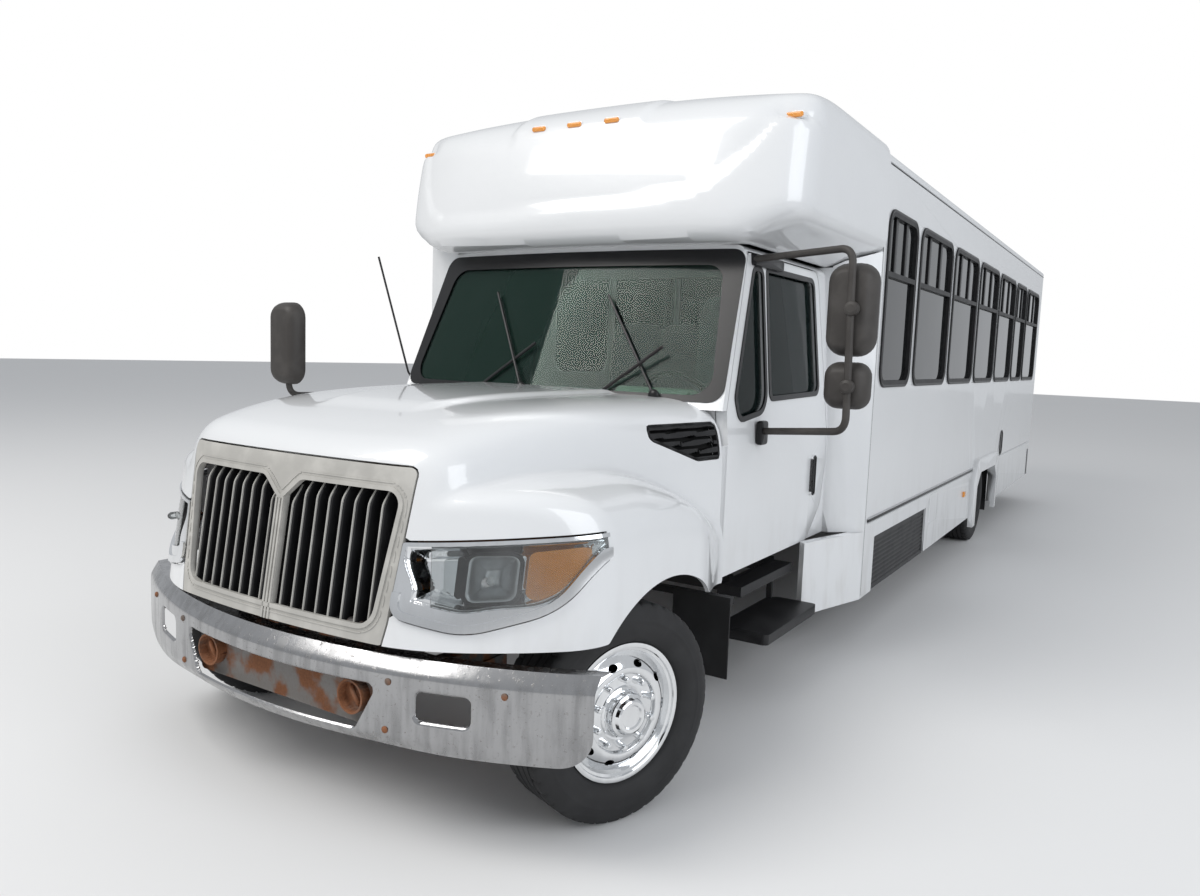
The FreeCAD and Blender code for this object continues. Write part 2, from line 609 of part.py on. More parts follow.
def lamp_region(side, gap):
    """Outline of the headlamp seen from the front, drawn in by a gap and run back to its tip."""
    corners = [(side * (598 + gap), 1096 - gap), (side * (576 + gap), 846 + gap, 30),
               (side * 820, 800 + gap, 200),
               (side * (1060 - gap), 880 + gap, 160), (side * (1180 - 2 * gap), 1140 - gap, 10)]
    return prism("y", s.nose_y - 100, -290 - gap, corners)


def louvre_region(side, gap):
    """The outlet in the hood's side in front of the door."""
    low, high = s.louvre_low + gap, s.louvre_high - gap
    front, rear = s.louvre_front + gap, s.louvre_rear - gap
    return prism("x", side * 800, side * 1200, [
        (rear, low, 12), (front + 330, low, 20), (front, high - 52 + 2.2 * gap, 28), (front, high, 28),
        (rear, high, 12)])


def louvre_slots(side):
    """Gaps between the outlet's level slats; each slot falls outwards."""
    pitch = (s.louvre_high - s.louvre_low - 12) / s.louvre_slats
    slots = []
    for i in range(int(s.louvre_slats)):
        z = s.louvre_low + 12 + pitch * i
        front = s.louvre_front + 26 + max(0, s.louvre_high - 40 - z - pitch) * 2.6
        slots.append(prism("y", front, s.louvre_rear - 20, [
            (side * 800, z + 10), (side * 1200, z - 6), (side * 1200, z + pitch - 18), (side * 800, z + pitch - 2)]))
    return slots


def grille(frame, hole, surround):
    """Upright bars that follow the nose, on two cross rails behind them."""
    count = 8
    bars = []
    depth = hood_form(6).cut(hood_form(30))
    window = depth.common(hole).cut(surround)
    step = s.grille_bar_pitch
    for side in (-1, 1):
        for i in range(count):
            x = side * (20 + step * (i + 0.95))
            slab = box(x - s.grille_bar / 2, x + s.grille_bar / 2, s.nose_y - 100, 0, 700, 1400)
            bars += solids(window.common(slab))
    rails_behind = hood_form(30).cut(hood_form(40)).common(hole).cut(surround)
    for z in (880, 1060, 1220):
        bars += solids(rails_behind.common(box(-600, 600, s.nose_y - 100, 0, z, z + 22)))
    feature("grille_bars", fuse_all(bars))


# Cab
def screen_band(low, high, front, back):
    """A slice of the windshield's bowed and leaning form, between two distances behind its outer face.

    The outer face is part of a cylinder whose axis leans as the windshield does."""
    along = V(0, (s.screen_high_y - s.screen_low_y) / (s.screen_high - s.screen_low), 1).normalize()
    ahead = V(0, -along.z, along.y)
    radius = (s.screen_low_half ** 2 + s.screen_bow ** 2) / (2 * s.screen_bow)
    reach = 1300
    sag = radius - math.sqrt(radius ** 2 - reach ** 2)
    start = V(0, s.screen_low_y - s.screen_bow, s.screen_low) - along * 700
    rim = []
    for depth in (front, back):
        middle = start - ahead * depth
        tips = [middle - ahead * sag + V(side * reach, 0, 0) for side in (-1, 1)]
        rim.append((tips[0], middle, tips[1]))
    (a, b, c), (d, e, f) = rim
    face = Part.Face(Part.Wire([Part.Arc(a, b, c).toShape(), Part.makeLine(c, f), Part.Arc(f, e, d).toShape(),
                                Part.makeLine(d, a)]))
    return face.extrude(along * 2200).common(box(-1400, 1400, -400, 2600, low, high))


def screen_outline(grow, low, high, radius=0):
    """The windshield's outline seen from the front, wider by a margin, between two heights."""
    lean = (s.screen_low_half - s.screen_high_half) / (s.screen_high - s.screen_low)
    wide = s.screen_low_half + grow + lean * (s.screen_low - low)
    narrow = s.screen_low_half + grow + lean * (s.screen_low - high)
    return prism("y", 400, 1700, [(-wide, low, radius), (-narrow, high, radius), (narrow, high, radius),
                                  (wide, low, radius)])


def cab_section(inset):
    """The cab seen from the front: upright to the belt, then leaning in."""
    low, belt, top = s.cab_belt_x - inset, s.cab_belt_x - inset, s.cab_top_x - inset
    return [(-low, s.cab_sill), (-belt, s.belt, 300), (-top, s.cab_roof - inset, 60), (top, s.cab_roof - inset, 60),
            (belt, s.belt, 300), (low, s.cab_sill)]


def door_corners(gap):
    """The driver's door seen from the side."""
    front = s.cab_front - gap
    return [(front, s.cab_sill - 5 - gap), (front, 1500), (1268 - gap, 2262 + gap, 40), (2290 + gap, 2262 + gap, 90),
            (2402 + gap, 1165), (2345 + gap, 900, 150), (2130, s.cab_sill - 5 - gap, 60)]


def quarter_corners():
    """The small fixed pane between the right-hand pillar and the entry door."""
    return [(1090, 1560, 40), (1262, 2060, 25), (1340, 2060, 25), (1340, 1560, 40)]


def window_main(grow):
    return [(1496 - grow, 1545 - grow, 40), (1496 - grow, 2205 + grow, 30), (2212 + grow, 2205 + grow, 50),
            (2250 + grow, 1560 - grow, 60)]


def window_vent(grow):
    return [(1062 - grow, 1560, 60), (1330 - grow, 2195 + grow, 50), (1446 + grow, 2195 + grow, 40),
            (1446 + grow, 1490 - grow, 120), (1100, 1452 - grow, 60)]


def cab():
    rear = s.cab_rear
    # Firewall below, and above it the leaning front that frames the windshield.
    shelf = s.screen_low - 50
    outer = prism("y", 700, rear, cab_section(0)).cut(box(-1300, 1300, 600, s.cab_front, 0, shelf))
    outer = outer.cut(screen_band(shelf, s.cab_roof + 100, -900, 0))
    inner = prism("y", 700, rear + 10, cab_section(s.cab_wall))
    inner = inner.cut(box(-1300, 1300, 600, s.cab_front + 40, 0, s.screen_low - 2))
    inner = inner.cut(screen_band(s.screen_low - 90, s.cab_roof + 100, -900, 60))
    lower = box(-s.cab_belt_x + s.cab_wall, s.cab_belt_x - s.cab_wall, s.cab_front + 40, rear + 10, 600, 1000)
    hole = screen_band(s.screen_low - 40, s.screen_high + 40, -40, 62).common(
        screen_outline(0, s.screen_low, s.screen_high, 70))
    shell = outer.cut(inner).cut(lower).cut(hole)
    # Cut-outs: driver's door, the open passenger side and the openings in the firewall.
    skin = prism("y", 700, rear + 10, cab_section(-90)).cut(
        prism("y", 690, rear + 20, cab_section(s.cab_wall + s.door_gap)))
    door = prism("x", 700, 1100, door_corners(s.door_gap)).common(skin)
    side = prism("x", -1100, -800, [(s.return_y + 30, 600), (s.return_y + 30, 2258), (rear + 10, 2258),
                                    (rear + 10, 600)])
    quarter = prism("x", -1100, -800, quarter_corners())
    tunnel = box(-300, 300, 900, 1100, 600, 1000)
    beside = s.rail_x + 2 * s.rail_web
    rails = box(-beside, beside, 900, 1100, 600, s.rail_top)
    shell = cut_all(shell, [door, side, quarter, tunnel, rails])
    main = max(solids(shell), key=lambda piece: piece.Volume)
    hinges = [box(s.cab_belt_x - s.cab_wall - 60, s.cab_belt_x - s.cab_wall - s.fit_gap, s.cab_front + 5,
                  s.cab_front + 35, z, z + 60) for z in (900, 1250)]
    feature("cab_shell", fuse_all([main] + hinges))
    pane = prism("y", 900, 2500, cab_section(22)).cut(prism("y", 890, 2510, cab_section(30)))
    pane = pane.common(prism("x", -1100, -800, quarter_corners()))
    glass = screen_band(s.screen_low - 40, s.screen_high + 40, 4, 4 + s.glass).common(
        screen_outline(0, s.screen_low, s.screen_high, 70))
    feature("windshield", solids(glass) + solids(pane))


def driver_door():
    skin = prism("y", 900, 2500, cab_section(0)).cut(prism("y", 890, 2510, cab_section(s.cab_wall)))
    skin = skin.cut(box(-1300, 0, 800, 2600, 0, 3000)).cut(box(0, 870, 800, 2600, 0, 2240))
    lower = box(s.cab_belt_x - s.cab_wall, s.cab_belt_x, 900, 2500, 600, s.cab_sill + 1)
    region = prism("x", 850, 1100, door_corners(0))
    door = skin.fuse(lower).common(region)
    door = door.cut(prism("x", 800, 1100, window_main(0))).cut(prism("x", 800, 1100, window_vent(0)))
    door = door.cut(box(0, 1100, 0, 3000, 2240, 3000).cut(box(0, 1100, 0, 3000, 2262, 3000)).cut(
        prism("y", 800, 2600, cab_section(0))))
    main = max(solids(door), key=lambda piece: piece.Volume)
    handle = prism("x", s.cab_belt_x - 1, s.cab_belt_x + 16, [(2138, 975, 18), (2182, 975, 18), (2182, 1208, 18),
                                                             (2138, 1208, 18)])
    feature("driver_door", fuse_all([main, handle]))
    mid = prism("y", 900, 2500, cab_section(22)).cut(prism("y", 890, 2510, cab_section(30)))
    mid = mid.cut(box(-1300, 0, 800, 2600, 0, 3000))
    panes = solids(mid.common(prism("x", 800, 1100, window_main(0)))) + \
        solids(mid.common(prism("x", 800, 1100, window_vent(0))))
    feature("door_glass", panes)


def tube(path, radius):
    """A round tube along straight runs, with a ball at each bend."""
    pieces = []
    for a, b in zip(path, path[1:]):
        run = b - a
        pieces.append(Part.makeCylinder(radius, run.Length, a, run))
    for bend in path[1:-1]:
        pieces.append(Part.makeSphere(radius, bend))
    return pieces


def mirrors():
    arm = 18
    left = tube([V(938, 1322, 2215), V(1490, 1190, 2215), V(1490, 1180, 1462), V(1010, 1330, 1400)], arm)
    left.append(box(s.cab_belt_x, s.cab_belt_x + 34, 1290, 1370, 1330, 1440))
    heads = [prism("y", 1168, 1252, [(1363, 1775, 70), (1589, 1775, 70), (1589, 2195, 90), (1363, 2195, 90)]),
             prism("y", 1160, 1244, [(1370, 1535, 60), (1580, 1535, 60), (1580, 1750, 60), (1370, 1750, 60)])]
    door_form = prism("y", 900, 2500, cab_section(0))
    left_shape = fuse_all(left + heads).cut(door_form)
    feature("left_mirror", max(solids(left_shape), key=lambda piece: piece.Volume))
    right = tube([V(-1000, 1010, 1450), V(-1330, 985, 1450), V(-1476, 520, 1450), V(-1476, 520, 1530)], arm)
    right.append(prism("y", 440, 520, [(-1363, 1512, 70), (-1589, 1512, 70), (-1589, 1968, 90), (-1363, 1968, 90)]))
    right_shape = fuse_all(right).cut(door_form)
    feature("right_mirror", max(solids(right_shape), key=lambda piece: piece.Volume))
    base = V(-1040, 985, 1600)
    tip = V(-1290, 985, 2265)
    whip = tube([V(-980, 985, 1530), base, tip], 6)
    feature("antenna", fuse_all(whip).cut(door_form))


def cab_inside():
    dash = prism("x", -s.cab_belt_x + s.cab_wall + 6, s.cab_belt_x - s.cab_wall - 6, [
        (s.cab_front + 40, 1120, 30), (s.cab_front + 40, 1480), (1110, 1500, 30), (1300, 1490, 60),
        (1340, 1250, 60), (1230, 1120, 40)])
    hood_over_dials = prism("x", 270, 690, [(1100, 1480), (1180, 1590, 60), (1330, 1560, 30), (1330, 1440)])
    room = prism("y", 900, 1500, cab_section(s.cab_wall + s.door_gap))
    dash = dash.fuse(hood_over_dials).common(room).cut(screen_band(s.screen_low - 400, s.screen_high, -900, 64))
    foot, along, reach, hub = V(480, 1250, 1330), V(0, 0.88, 0.47).normalize(), 260, 8
    feature("dashboard", fuse_all([dash, Part.makeCylinder(30, reach, foot, along)]))
    centre = foot + along * (reach + s.fit_gap + hub)
    corners = [V(225 + 17 * math.cos(math.radians(a)), 0, 17 * math.sin(math.radians(a))) for a in range(0, 360, 60)]
    rim_face = Part.Face(Part.makePolygon(corners + corners[:1]))
    wheel = [rim_face.revolve(V(), V(0, 0, 1), 360), Part.makeCylinder(60, 30, V(0, 0, -hub))]
    for angle in (90, 210, 330):
        spoke = box(40, 222, -14, 14, -6, 6)
        spoke.rotate(V(), V(0, 0, 1), angle)
        wheel.append(spoke)
    rim = fuse_all(wheel)
    rim.rotate(V(), V(1, 0, 0), -math.degrees(math.atan2(0.88, 0.47)))
    rim.translate(centre)
    feature("steering_wheel", rim)
    seat = [prism("x", 250, 710, [(1625, 1330, 30), (2105, 1310, 30), (2105, 1460, 50), (1625, 1480, 50)]),
            prism("x", 260, 700, [(2045, 1440, 30), (2165, 1430, 30), (2295, 2120, 36), (2185, 2120, 36)]),
            box(340, 620, 1695, 2035, s.floor_top, 1335)]
    return fuse_all(seat)


# Passenger box
WINDOWS = ((2670, 3410), (3500, 4550), (4640, 5670), (5760, 6780), (6870, 7900), (7990, 8780), (8860, 9910))


def window_corners(start, end, inset):
    low, high, radius = s.window_low + inset, s.window_high - inset, s.window_corner - inset
    return [(start + inset, low, radius), (end - inset, low, radius), (end - inset, high, radius),
            (start + inset, high, radius)]


def side_wall(node, side, front_panel):
    inner, outer = s.half_width - s.wall, s.half_width
    x0, x1 = (inner, outer) if side > 0 else (-outer, -inner)
    rise = (s.skirt_rear - s.skirt_front) / (s.box_rear - s.box_front)
    low_at = lambda y: s.skirt_front + rise * (y - s.box_front)
    outline = [(s.box_front, s.skirt_front), (s.arch_front, low_at(s.arch_front)),
               (s.arch_front, s.arch_top - 130), (s.arch_front + 150, s.arch_top, 80),
               (s.arch_rear - 150, s.arch_top, 80), (s.arch_rear, s.arch_top - 130),
               (s.arch_rear, low_at(s.arch_rear)), (s.box_rear, s.skirt_rear), (s.box_rear, s.drip),
               (s.box_front, s.drip)]
    shape = prism("x", x0, x1, outline)
    for start, end in WINDOWS:
        shape = shape.cut(prism("x", x0 - 10, x1 + 10, window_corners(start, end, 0)))
    if side > 0:
        shape = shape.cut(prism("x", x0 - 10, x1 + 10, grille_corners(0)))
        ring = prism("x", x1 - 6, x1 + 10, fuel_corners(-4)).cut(prism("x", x1 - 16, x1 + 20, fuel_corners(0)))
        shape = shape.cut(ring)
    # Arch flare that stands out of the wall.
    y0, y1, top = s.arch_front, s.arch_rear, s.arch_top
    f0, f1 = sorted((side * outer, side * (outer + s.flare_out)))
    flare = prism("x", f0, f1, [
        (y0, low_at(y0) - 90), (y0, top - 130), (y0 + 150, top, 80), (y1 - 150, top, 80), (y1, top - 130),
        (y1, low_at(y1) - 60), (y1 + 60, low_at(y1) - 60), (y1 + 150, top - 60, 120), (y1 + 20, top + 130, 140),
        (y0 - 20, top + 130, 140), (y0 - 190, top - 60, 120), (y0 - 130, low_at(y0) - 90)])
    feature(node, fuse_all([shape, flare, front_panel]))


def grille_corners(inset):
    return [(2830 + inset, 300 + inset), (4270 - inset, 300 + inset), (4270 - inset, 655 - inset, 12),
            (2830 + inset, 655 - inset, 12)]


def fuel_corners(inset):
    return [(4390 + inset, 510 + inset, 20), (4670 - inset, 510 + inset, 20), (4670 - inset, 740 - inset, 20),
            (4390 + inset, 740 - inset, 20)]


def windows():
    inner, outer = s.half_width - s.wall, s.half_width
    frames, panes = [], []
    for side in (-1, 1):
        for start, end in WINDOWS:
            x0, x1 = sorted((side * (inner + 6), side * (outer + 9)))
            ring = prism("x", x0, x1, window_corners(start, end, 0)).cut(
                prism("x", x0 - 10, x1 + 10, window_corners(start, end, s.window_frame)))
            bar = box(x0, x1, start + s.window_frame, end - s.window_frame, s.slider_split - 16, s.slider_split + 16)
            ring = fuse_all([ring, bar])
            frames.append(ring)
            g0, g1 = sorted((side * (inner + 18), side * (inner + 26)))
            pane = prism("x", g0, g1, window_corners(start, end, s.window_frame))
            panes += solids(pane.cut(ring))
    feature("window_frames", frames)
    feature("window_glass", panes)


def box_shell():
    inner, outer = s.half_width - s.wall, s.half_width
    roof_wall = 45
    outline = [(-outer, s.drip), (-outer, s.drip + 45, 40), (-outer + 190, s.drip + 105, 300), (0, s.roof_crown, 6000),
               (outer - 190, s.drip + 105, 300), (outer, s.drip + 45, 40), (outer, s.drip)]
    hollow = [(-inner, s.drip - 1), (-inner, s.drip + 20), (-outer + 190, s.drip + 105 - roof_wall, 300),
              (0, s.roof_crown - roof_wall, 6000), (outer - 190, s.drip + 105 - roof_wall, 300),
              (inner, s.drip + 20), (inner, s.drip - 1)]
    roof = prism("y", s.box_front, s.box_rear, outline).cut(prism("y", s.box_front - 5, s.box_rear + 5, hollow))
    feature("roof", roof)
    rear = prism("y", s.box_rear - s.wall, s.box_rear, [(-inner, s.skirt_rear + 250), (-inner, s.drip),
                                                       (inner, s.drip), (inner, s.skirt_rear + 250)])
    cap = prism("y", s.box_rear - s.wall, s.box_rear, hollow)
    rear = fuse_all([rear, cap])
    rear = rear.cut(rear_door_prism(s.door_gap))
    feature("rear_wall", rear)
    low = s.rail_top
    slab = box(-inner, inner, s.box_front, s.box_rear - s.wall - s.door_gap, low, s.floor_top)
    cab_floor = box(-s.cab_belt_x + s.cab_wall, s.cab_belt_x - s.cab_wall - s.door_gap, s.cab_front + 40,
                    s.box_front, low, s.floor_top)
    right = box(-inner, -s.cab_belt_x + s.cab_wall, s.return_y + 30, s.box_front, low, s.floor_top)
    well = box(-s.half_width, -700, s.entry_front, s.entry_rear, 300, 1000)
    tunnel = box(-300, 300, 900, 1100, 600, 1000)
    floor = fuse_all([slab, cab_floor, right]).cut(well).cut(tunnel)
    feature("floor", floor)
    tread = 12
    steps = [box(-inner + 2, -1010, s.entry_front, s.entry_rear, s.entry_low, s.entry_low + tread),
             box(-1010, -1010 + tread, s.entry_front, s.entry_rear, s.entry_low, 545),
             box(-1010, -855, s.entry_front, s.entry_rear, 545 - tread, 545),
             box(-855, -855 + tread, s.entry_front, s.entry_rear, 545 - tread, 750),
             box(-855, -700, s.entry_front, s.entry_rear, 750 - tread, 750),
             box(-700 - tread, -700, s.entry_front, s.entry_rear, 750 - tread, s.floor_top)]
    ends = [prism("y", y, y + tread, [(-inner + 2, s.entry_low), (-1010 + tread, s.entry_low), (-855, 545),
                                      (-700, 738), (-700, s.floor_top), (-inner + 2, s.floor_top)])
            for y in (s.entry_front, s.entry_rear - tread)]
    feature("entry_steps", fuse_all(steps + ends))


def rear_door_prism(gap):
    return prism("y", s.box_rear - 200, s.box_rear + 100, [
        (-470 - gap, 860 - gap), (470 + gap, 860 - gap), (470 + gap, 2480 + gap, 40), (-470 - gap, 2480 + gap, 40)])


def rear_door():
    slab = box(-1000, 1000, s.box_rear - s.wall, s.box_rear, 700, 2700).common(rear_door_prism(0))
    window = [(-360, 1650, 60), (360, 1650, 60), (360, 2380, 60), (-360, 2380, 60)]
    hole = prism("y", s.box_rear - 100, s.box_rear + 50, window)
    hinges = barrels(-473, s.box_rear + 8, (-470, -430, s.box_rear, s.box_rear + 8), (1050, 1600, 2150))
    feature("rear_door", fuse_all([slab.cut(hole)] + hinges))
    feature("rear_door_glass", prism("y", s.box_rear - 26, s.box_rear - 18, window))


# Entry side and the panels between cab and box
def right_front_panel():
    inner, outer = s.half_width - s.wall, s.half_width
    panel = box(-outer, -inner, s.return_y, s.box_front, s.skirt_front, s.cap_side_low)
    door = box(-outer - 10, -inner + 10, s.entry_front - s.door_gap, s.entry_rear + s.door_gap, s.entry_low - 40,
               s.entry_high + s.door_gap)
    returned = box(-outer, -s.cab_belt_x, s.return_y, s.return_y + 30, s.skirt_front, s.cap_side_low)
    lean = prism("y", s.return_y, s.return_y + 30, cab_section(0))
    closing = box(-s.cab_belt_x - 1, -850, s.return_y, s.return_y + 30, s.belt, 2300).cut(lean)
    shape = fuse_all([panel.cut(door), returned, closing]).cut(cap_form(0))
    shape = max(solids(shape), key=lambda piece: piece.Volume)
    return shape


def transition():
    """Slanted panel from the door's rear edge out to the box, and the skirt below it."""
    upper = prism("z", s.cab_sill, s.cap_side_low, [
        (s.cab_belt_x + 0.5, s.cab_rear), (s.cab_belt_x + 40, s.cab_rear), (s.half_width, s.box_front - 20),
        (s.half_width, s.box_front), (s.half_width - 50, s.box_front), (s.cab_belt_x - 30, s.cab_rear + 45),
        (s.cab_belt_x - 30, s.cab_rear), ])
    lower = prism("z", s.skirt_front, s.cab_sill, [
        (1020, 2010), (1055, 1990), (s.half_width, s.box_front - 20), (s.half_width, s.box_front),
        (s.half_width - 50, s.box_front), (1020, 2060)])
    lean = box(s.cab_top_x - 60, s.cab_belt_x, s.cab_rear, s.cab_rear + 30, s.floor_top, s.cab_roof)
    return fuse_all([upper, lower, lean]).cut(cap_form(0))


# Cap over the windshield
def cap_form(inset):
    """The cap as what its side, front and plan views have in common."""
    lip = s.cap_lip_y
    back = s.box_front
    side = [(1170, s.cap_low + inset), (lip + inset, s.cap_low + 8 + inset, 30), (lip + 26 + inset, 2500, 300),
            (1086 + inset, 2890, 200), (1330, 3030 - inset, 500), (back, s.roof_crown - inset),
            (back, s.cap_low + inset)]
    outer = s.half_width - inset
    front = [(-outer, s.cap_side_low + inset, 60), (-960, s.cap_low + inset, 120), (960, s.cap_low + inset, 120),
             (outer, s.cap_side_low + inset, 60), (outer, s.drip + 35 - inset, 120),
             (outer - 260, s.drip + 110 - inset, 500), (0, s.roof_crown - inset, 6000),
             (-outer + 260, s.drip + 110 - inset, 500), (-outer, s.drip + 35 - inset, 120)]
    plan = [(-outer, back), (-outer, 1200 + inset, 140), (-900, 1060 + inset, 500), (0, lip + inset, 4000),
            (900, 1060 + inset, 500), (outer, 1200 + inset, 140), (outer, back)]
    form = prism("x", -1400, 1400, side).common(prism("y", 900, back, front))
    return form.common(prism("z", 2000, 3300, plan))


CAP_LAMPS = ((1150, 1150, 2895), (-1150, 1150, 2895), (226, 1100, 2918), (0, 1092, 2918), (-226, 1100, 2918))


def cap_and_lamps():
    outer = cap_form(0)
    inner = cap_form(s.cap_wall)
    inner = inner.fuse(box(-s.half_width + s.cap_wall, s.half_width - s.cap_wall, s.box_front - 60,
                           s.box_front + 10, s.cap_side_low + 60, s.drip))
    shell = outer.cut(inner)
    # Where the cab's header and the windshield frame rise into it.
    shell = shell.cut(prism("y", 1000, s.box_front + 5, cab_section(0)))
    main = max(solids(shell), key=lambda piece: piece.Volume)
    lamps = []
    for x, y, z in CAP_LAMPS:
        pod = prism("y", y - 45, y + 60, [(x - 48, z - 18, 17), (x + 48, z - 18, 17), (x + 48, z + 18, 17),
                                          (x - 48, z + 18, 17)])
        main = main.cut(pod)
        lamps.append(pod.common(cap_form(-14)).cut(cap_form(30)))
    main = max(solids(main), key=lambda piece: piece.Volume)
    feature("roof_cap", main)
    lamps = [piece for lamp in lamps for piece in solids(lamp)]
    rear = s.box_rear
    for side in (-1, 1):
        for x, z in ((1090, 1000), (1090, 1130), (1090, 2860), (300, 2860)):
            lamps.append(Part.makeCylinder(52 if z < 2000 else 30, 14, V(side * x, rear, z), V(0, 1, 0)))
    lamps.append(Part.makeCylinder(30, 14, V(0, rear, 2860), V(0, 1, 0)))
    feature("lamps", lamps)


# Rear bumper, steps, flaps and small pieces
def outside():
    rear_plan = [(-1190, s.box_rear + 2), (-1190, s.rear_bumper_back, 60), (1190, s.rear_bumper_back, 60),
                 (1190, s.box_rear + 2)]
    bar = prism("z", 380, 600, rear_plan).cut(prism("z", 388, 592, [
        (-1182, s.box_rear - 10), (-1182, s.rear_bumper_back - 8, 52), (1182, s.rear_bumper_back - 8, 52),
        (1182, s.box_rear - 10)]))
    arms = [box(side * 400 - 30, side * 400 + 30, s.rail_rear - 300, s.rear_bumper_back - 9, 500, s.rail_bottom - 0)
            for side in (-1, 1)]
    arms = [arm.cut(box(-1300, 1300, s.box_rear + 1, s.rear_bumper_back - 8, 592, 700)) for arm in arms]
    feature("rear_bumper", fuse_all([bar] + arms))
    board = prism("z", 340, 392, [(900, 1240, 30), (1150, 1240, 30), (1150, 2000 - 20, 30), (900, 1980, 30)])
    upper = box(870, 1000, 1240, 1960, 560, 610)
    walls = [box(870, 900, y, y + 20, 340, 610) for y in (1260, 1920)]
    beams = [box(s.rail_x, 905, y, y + 60, 620 - 60, 640) for y in (1300, 1860)]
    feature("cab_steps", fuse_all([board, upper] + walls + beams + [box(870, 930, 1240, 1960, 380, 392)]))
    flaps = []
    for side in (-1, 1):
        sheet_x = sorted((side * 840, side * 1130))
        flaps.append(box(sheet_x[0], sheet_x[1], 812, 820, 293, 672))
        stay = sorted((side * s.rail_x, side * 1130))
        flaps.append(box(stay[0], stay[1], 820, 850, 640, 672))
        rear_x = sorted((side * 640, side * 1165))
        flaps.append(box(rear_x[0], rear_x[1], s.wheelbase + 600, s.wheelbase + 608, 230, s.rail_top))
    feature("mud_flaps", [flap for flap in fuse_all(flaps).Solids])
    mesh = prism("x", s.half_width - 32, s.half_width - 14, grille_corners(0))
    slots = [box(s.half_width - 20, s.half_width, 2860, 4240, z, z + 14) for z in range(330, 630, 30)]
    feature("condenser_grille", cut_all(mesh, slots))


def seats(driver):
    pieces = [driver]
    pitch = 760
    for side in (-1, 1):
        for row in range(9):
            y = s.box_front + 330 + pitch * row
            x0, x1 = sorted((side * 250, side * 1130))
            cushion = prism("x", x0, x1, [(y, 1270, 20), (y + 430, 1270, 20), (y + 430, 1370, 30), (y, 1380, 40)])
            back = prism("x", x0, x1, [(y + 380, 1300, 20), (y + 470, 1300, 20), (y + 560, 1990, 30),
                                       (y + 480, 1990, 30)])
            leg = box(x0 + 300, x0 + 380, y + 150, y + 300, s.floor_top, 1290)
            pieces.append(fuse_all([cushion, back, leg]))
    feature("seats", pieces)


def barrels(axis_x, axis_y, strap, heights):
    """Hinge barrels just clear of the jamb's corner, each with a strap that lies on the leaf."""
    pieces = []
    for z in heights:
        pieces.append(Part.makeCylinder(s.barrel, 120, V(axis_x, axis_y, z)))
        x0, x1, y0, y1 = strap
        pieces.append(box(x0, x1, y0, y1, z, z + 120))
    return pieces


def entry_door():
    outer = s.half_width
    mid = (s.entry_front + s.entry_rear) / 2
    leaves = (("front", s.entry_front, mid - 3), ("rear", mid + 3, s.entry_rear))
    for name, start, end in leaves:
        slab = box(-outer, -outer + 34, start, end, s.entry_low - 30, s.entry_high)
        hole = [(start + 48, s.entry_low + 60, 50), (end - 48, s.entry_low + 60, 50),
                (end - 48, s.entry_high - 60, 50), (start + 48, s.entry_high - 60, 50)]
        jamb = start - 3 if name == "front" else end + 3
        strap_y = sorted((jamb + (3 if name == "front" else -3), jamb + (40 if name == "front" else -40)))
        hinges = barrels(-outer - 8, jamb, (-outer - 8, -outer, strap_y[0], strap_y[1]), (500, 1250, 2000))
        feature("entry_%s_leaf" % name, fuse_all([slab.cut(prism("x", -outer - 10, -outer + 50, hole))] + hinges))
        feature("entry_%s_glass" % name, prism("x", -outer + 14, -outer + 20, hole))


def wipers():
    arms = []
    for x in (-420, 330):
        foot = V(x, 850, 1532)
        tip = V(x + 330, 935, 1790)
        arms.append(fuse_all(tube([foot, tip], 8)))
    feature("wipers", [arm.cut(screen_band(s.screen_low - 200, s.screen_high, -s.fit_gap, 300)) for arm in arms])


def build():
    chassis()
    springs()
    front_axle()
    rear_axle()
    knuckle("left_knuckle", 1)
    knuckle("right_knuckle", -1)
    wheels()
    drive()
    tank_and_exhaust()
    bumper()
    hood()
    cab()
    driver_door()
    mirrors()
    driver = cab_inside()
    side_wall("left_wall", 1, transition())
    side_wall("right_wall", -1, right_front_panel())
    windows()
    box_shell()
    rear_door()
    cap_and_lamps()
    outside()
    seats(driver)
    entry_door()
    wipers()


build()
doc.recompute()
for obj in doc.Objects:
    if "Invalid" in obj.State or "Error" in obj.State:
        raise RuntimeError("%s failed: %s" % (obj.Name, obj.State))
broken = [obj.Label for obj in PARTS if obj.Shape.isNull() or not obj.Shape.isValid()]
if broken:
    raise RuntimeError("no valid shape: %s" % ", ".join(broken))
os.makedirs("parts", exist_ok=True)
for obj in PARTS:
    obj.Shape.exportStep("parts/%s.step" % obj.Label)
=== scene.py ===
# Minibus: a white passenger body on a conventional truck chassis.
# Lengths are metres. +Z is up, the bus faces -Y, +X is the driver's side.
# Shapes are worked out with y counted rearwards from the front axle; piece() moves them to the part's frame.
import json
import math

import bmesh
import bpy
import numpy as np
from mathutils import Matrix, Vector


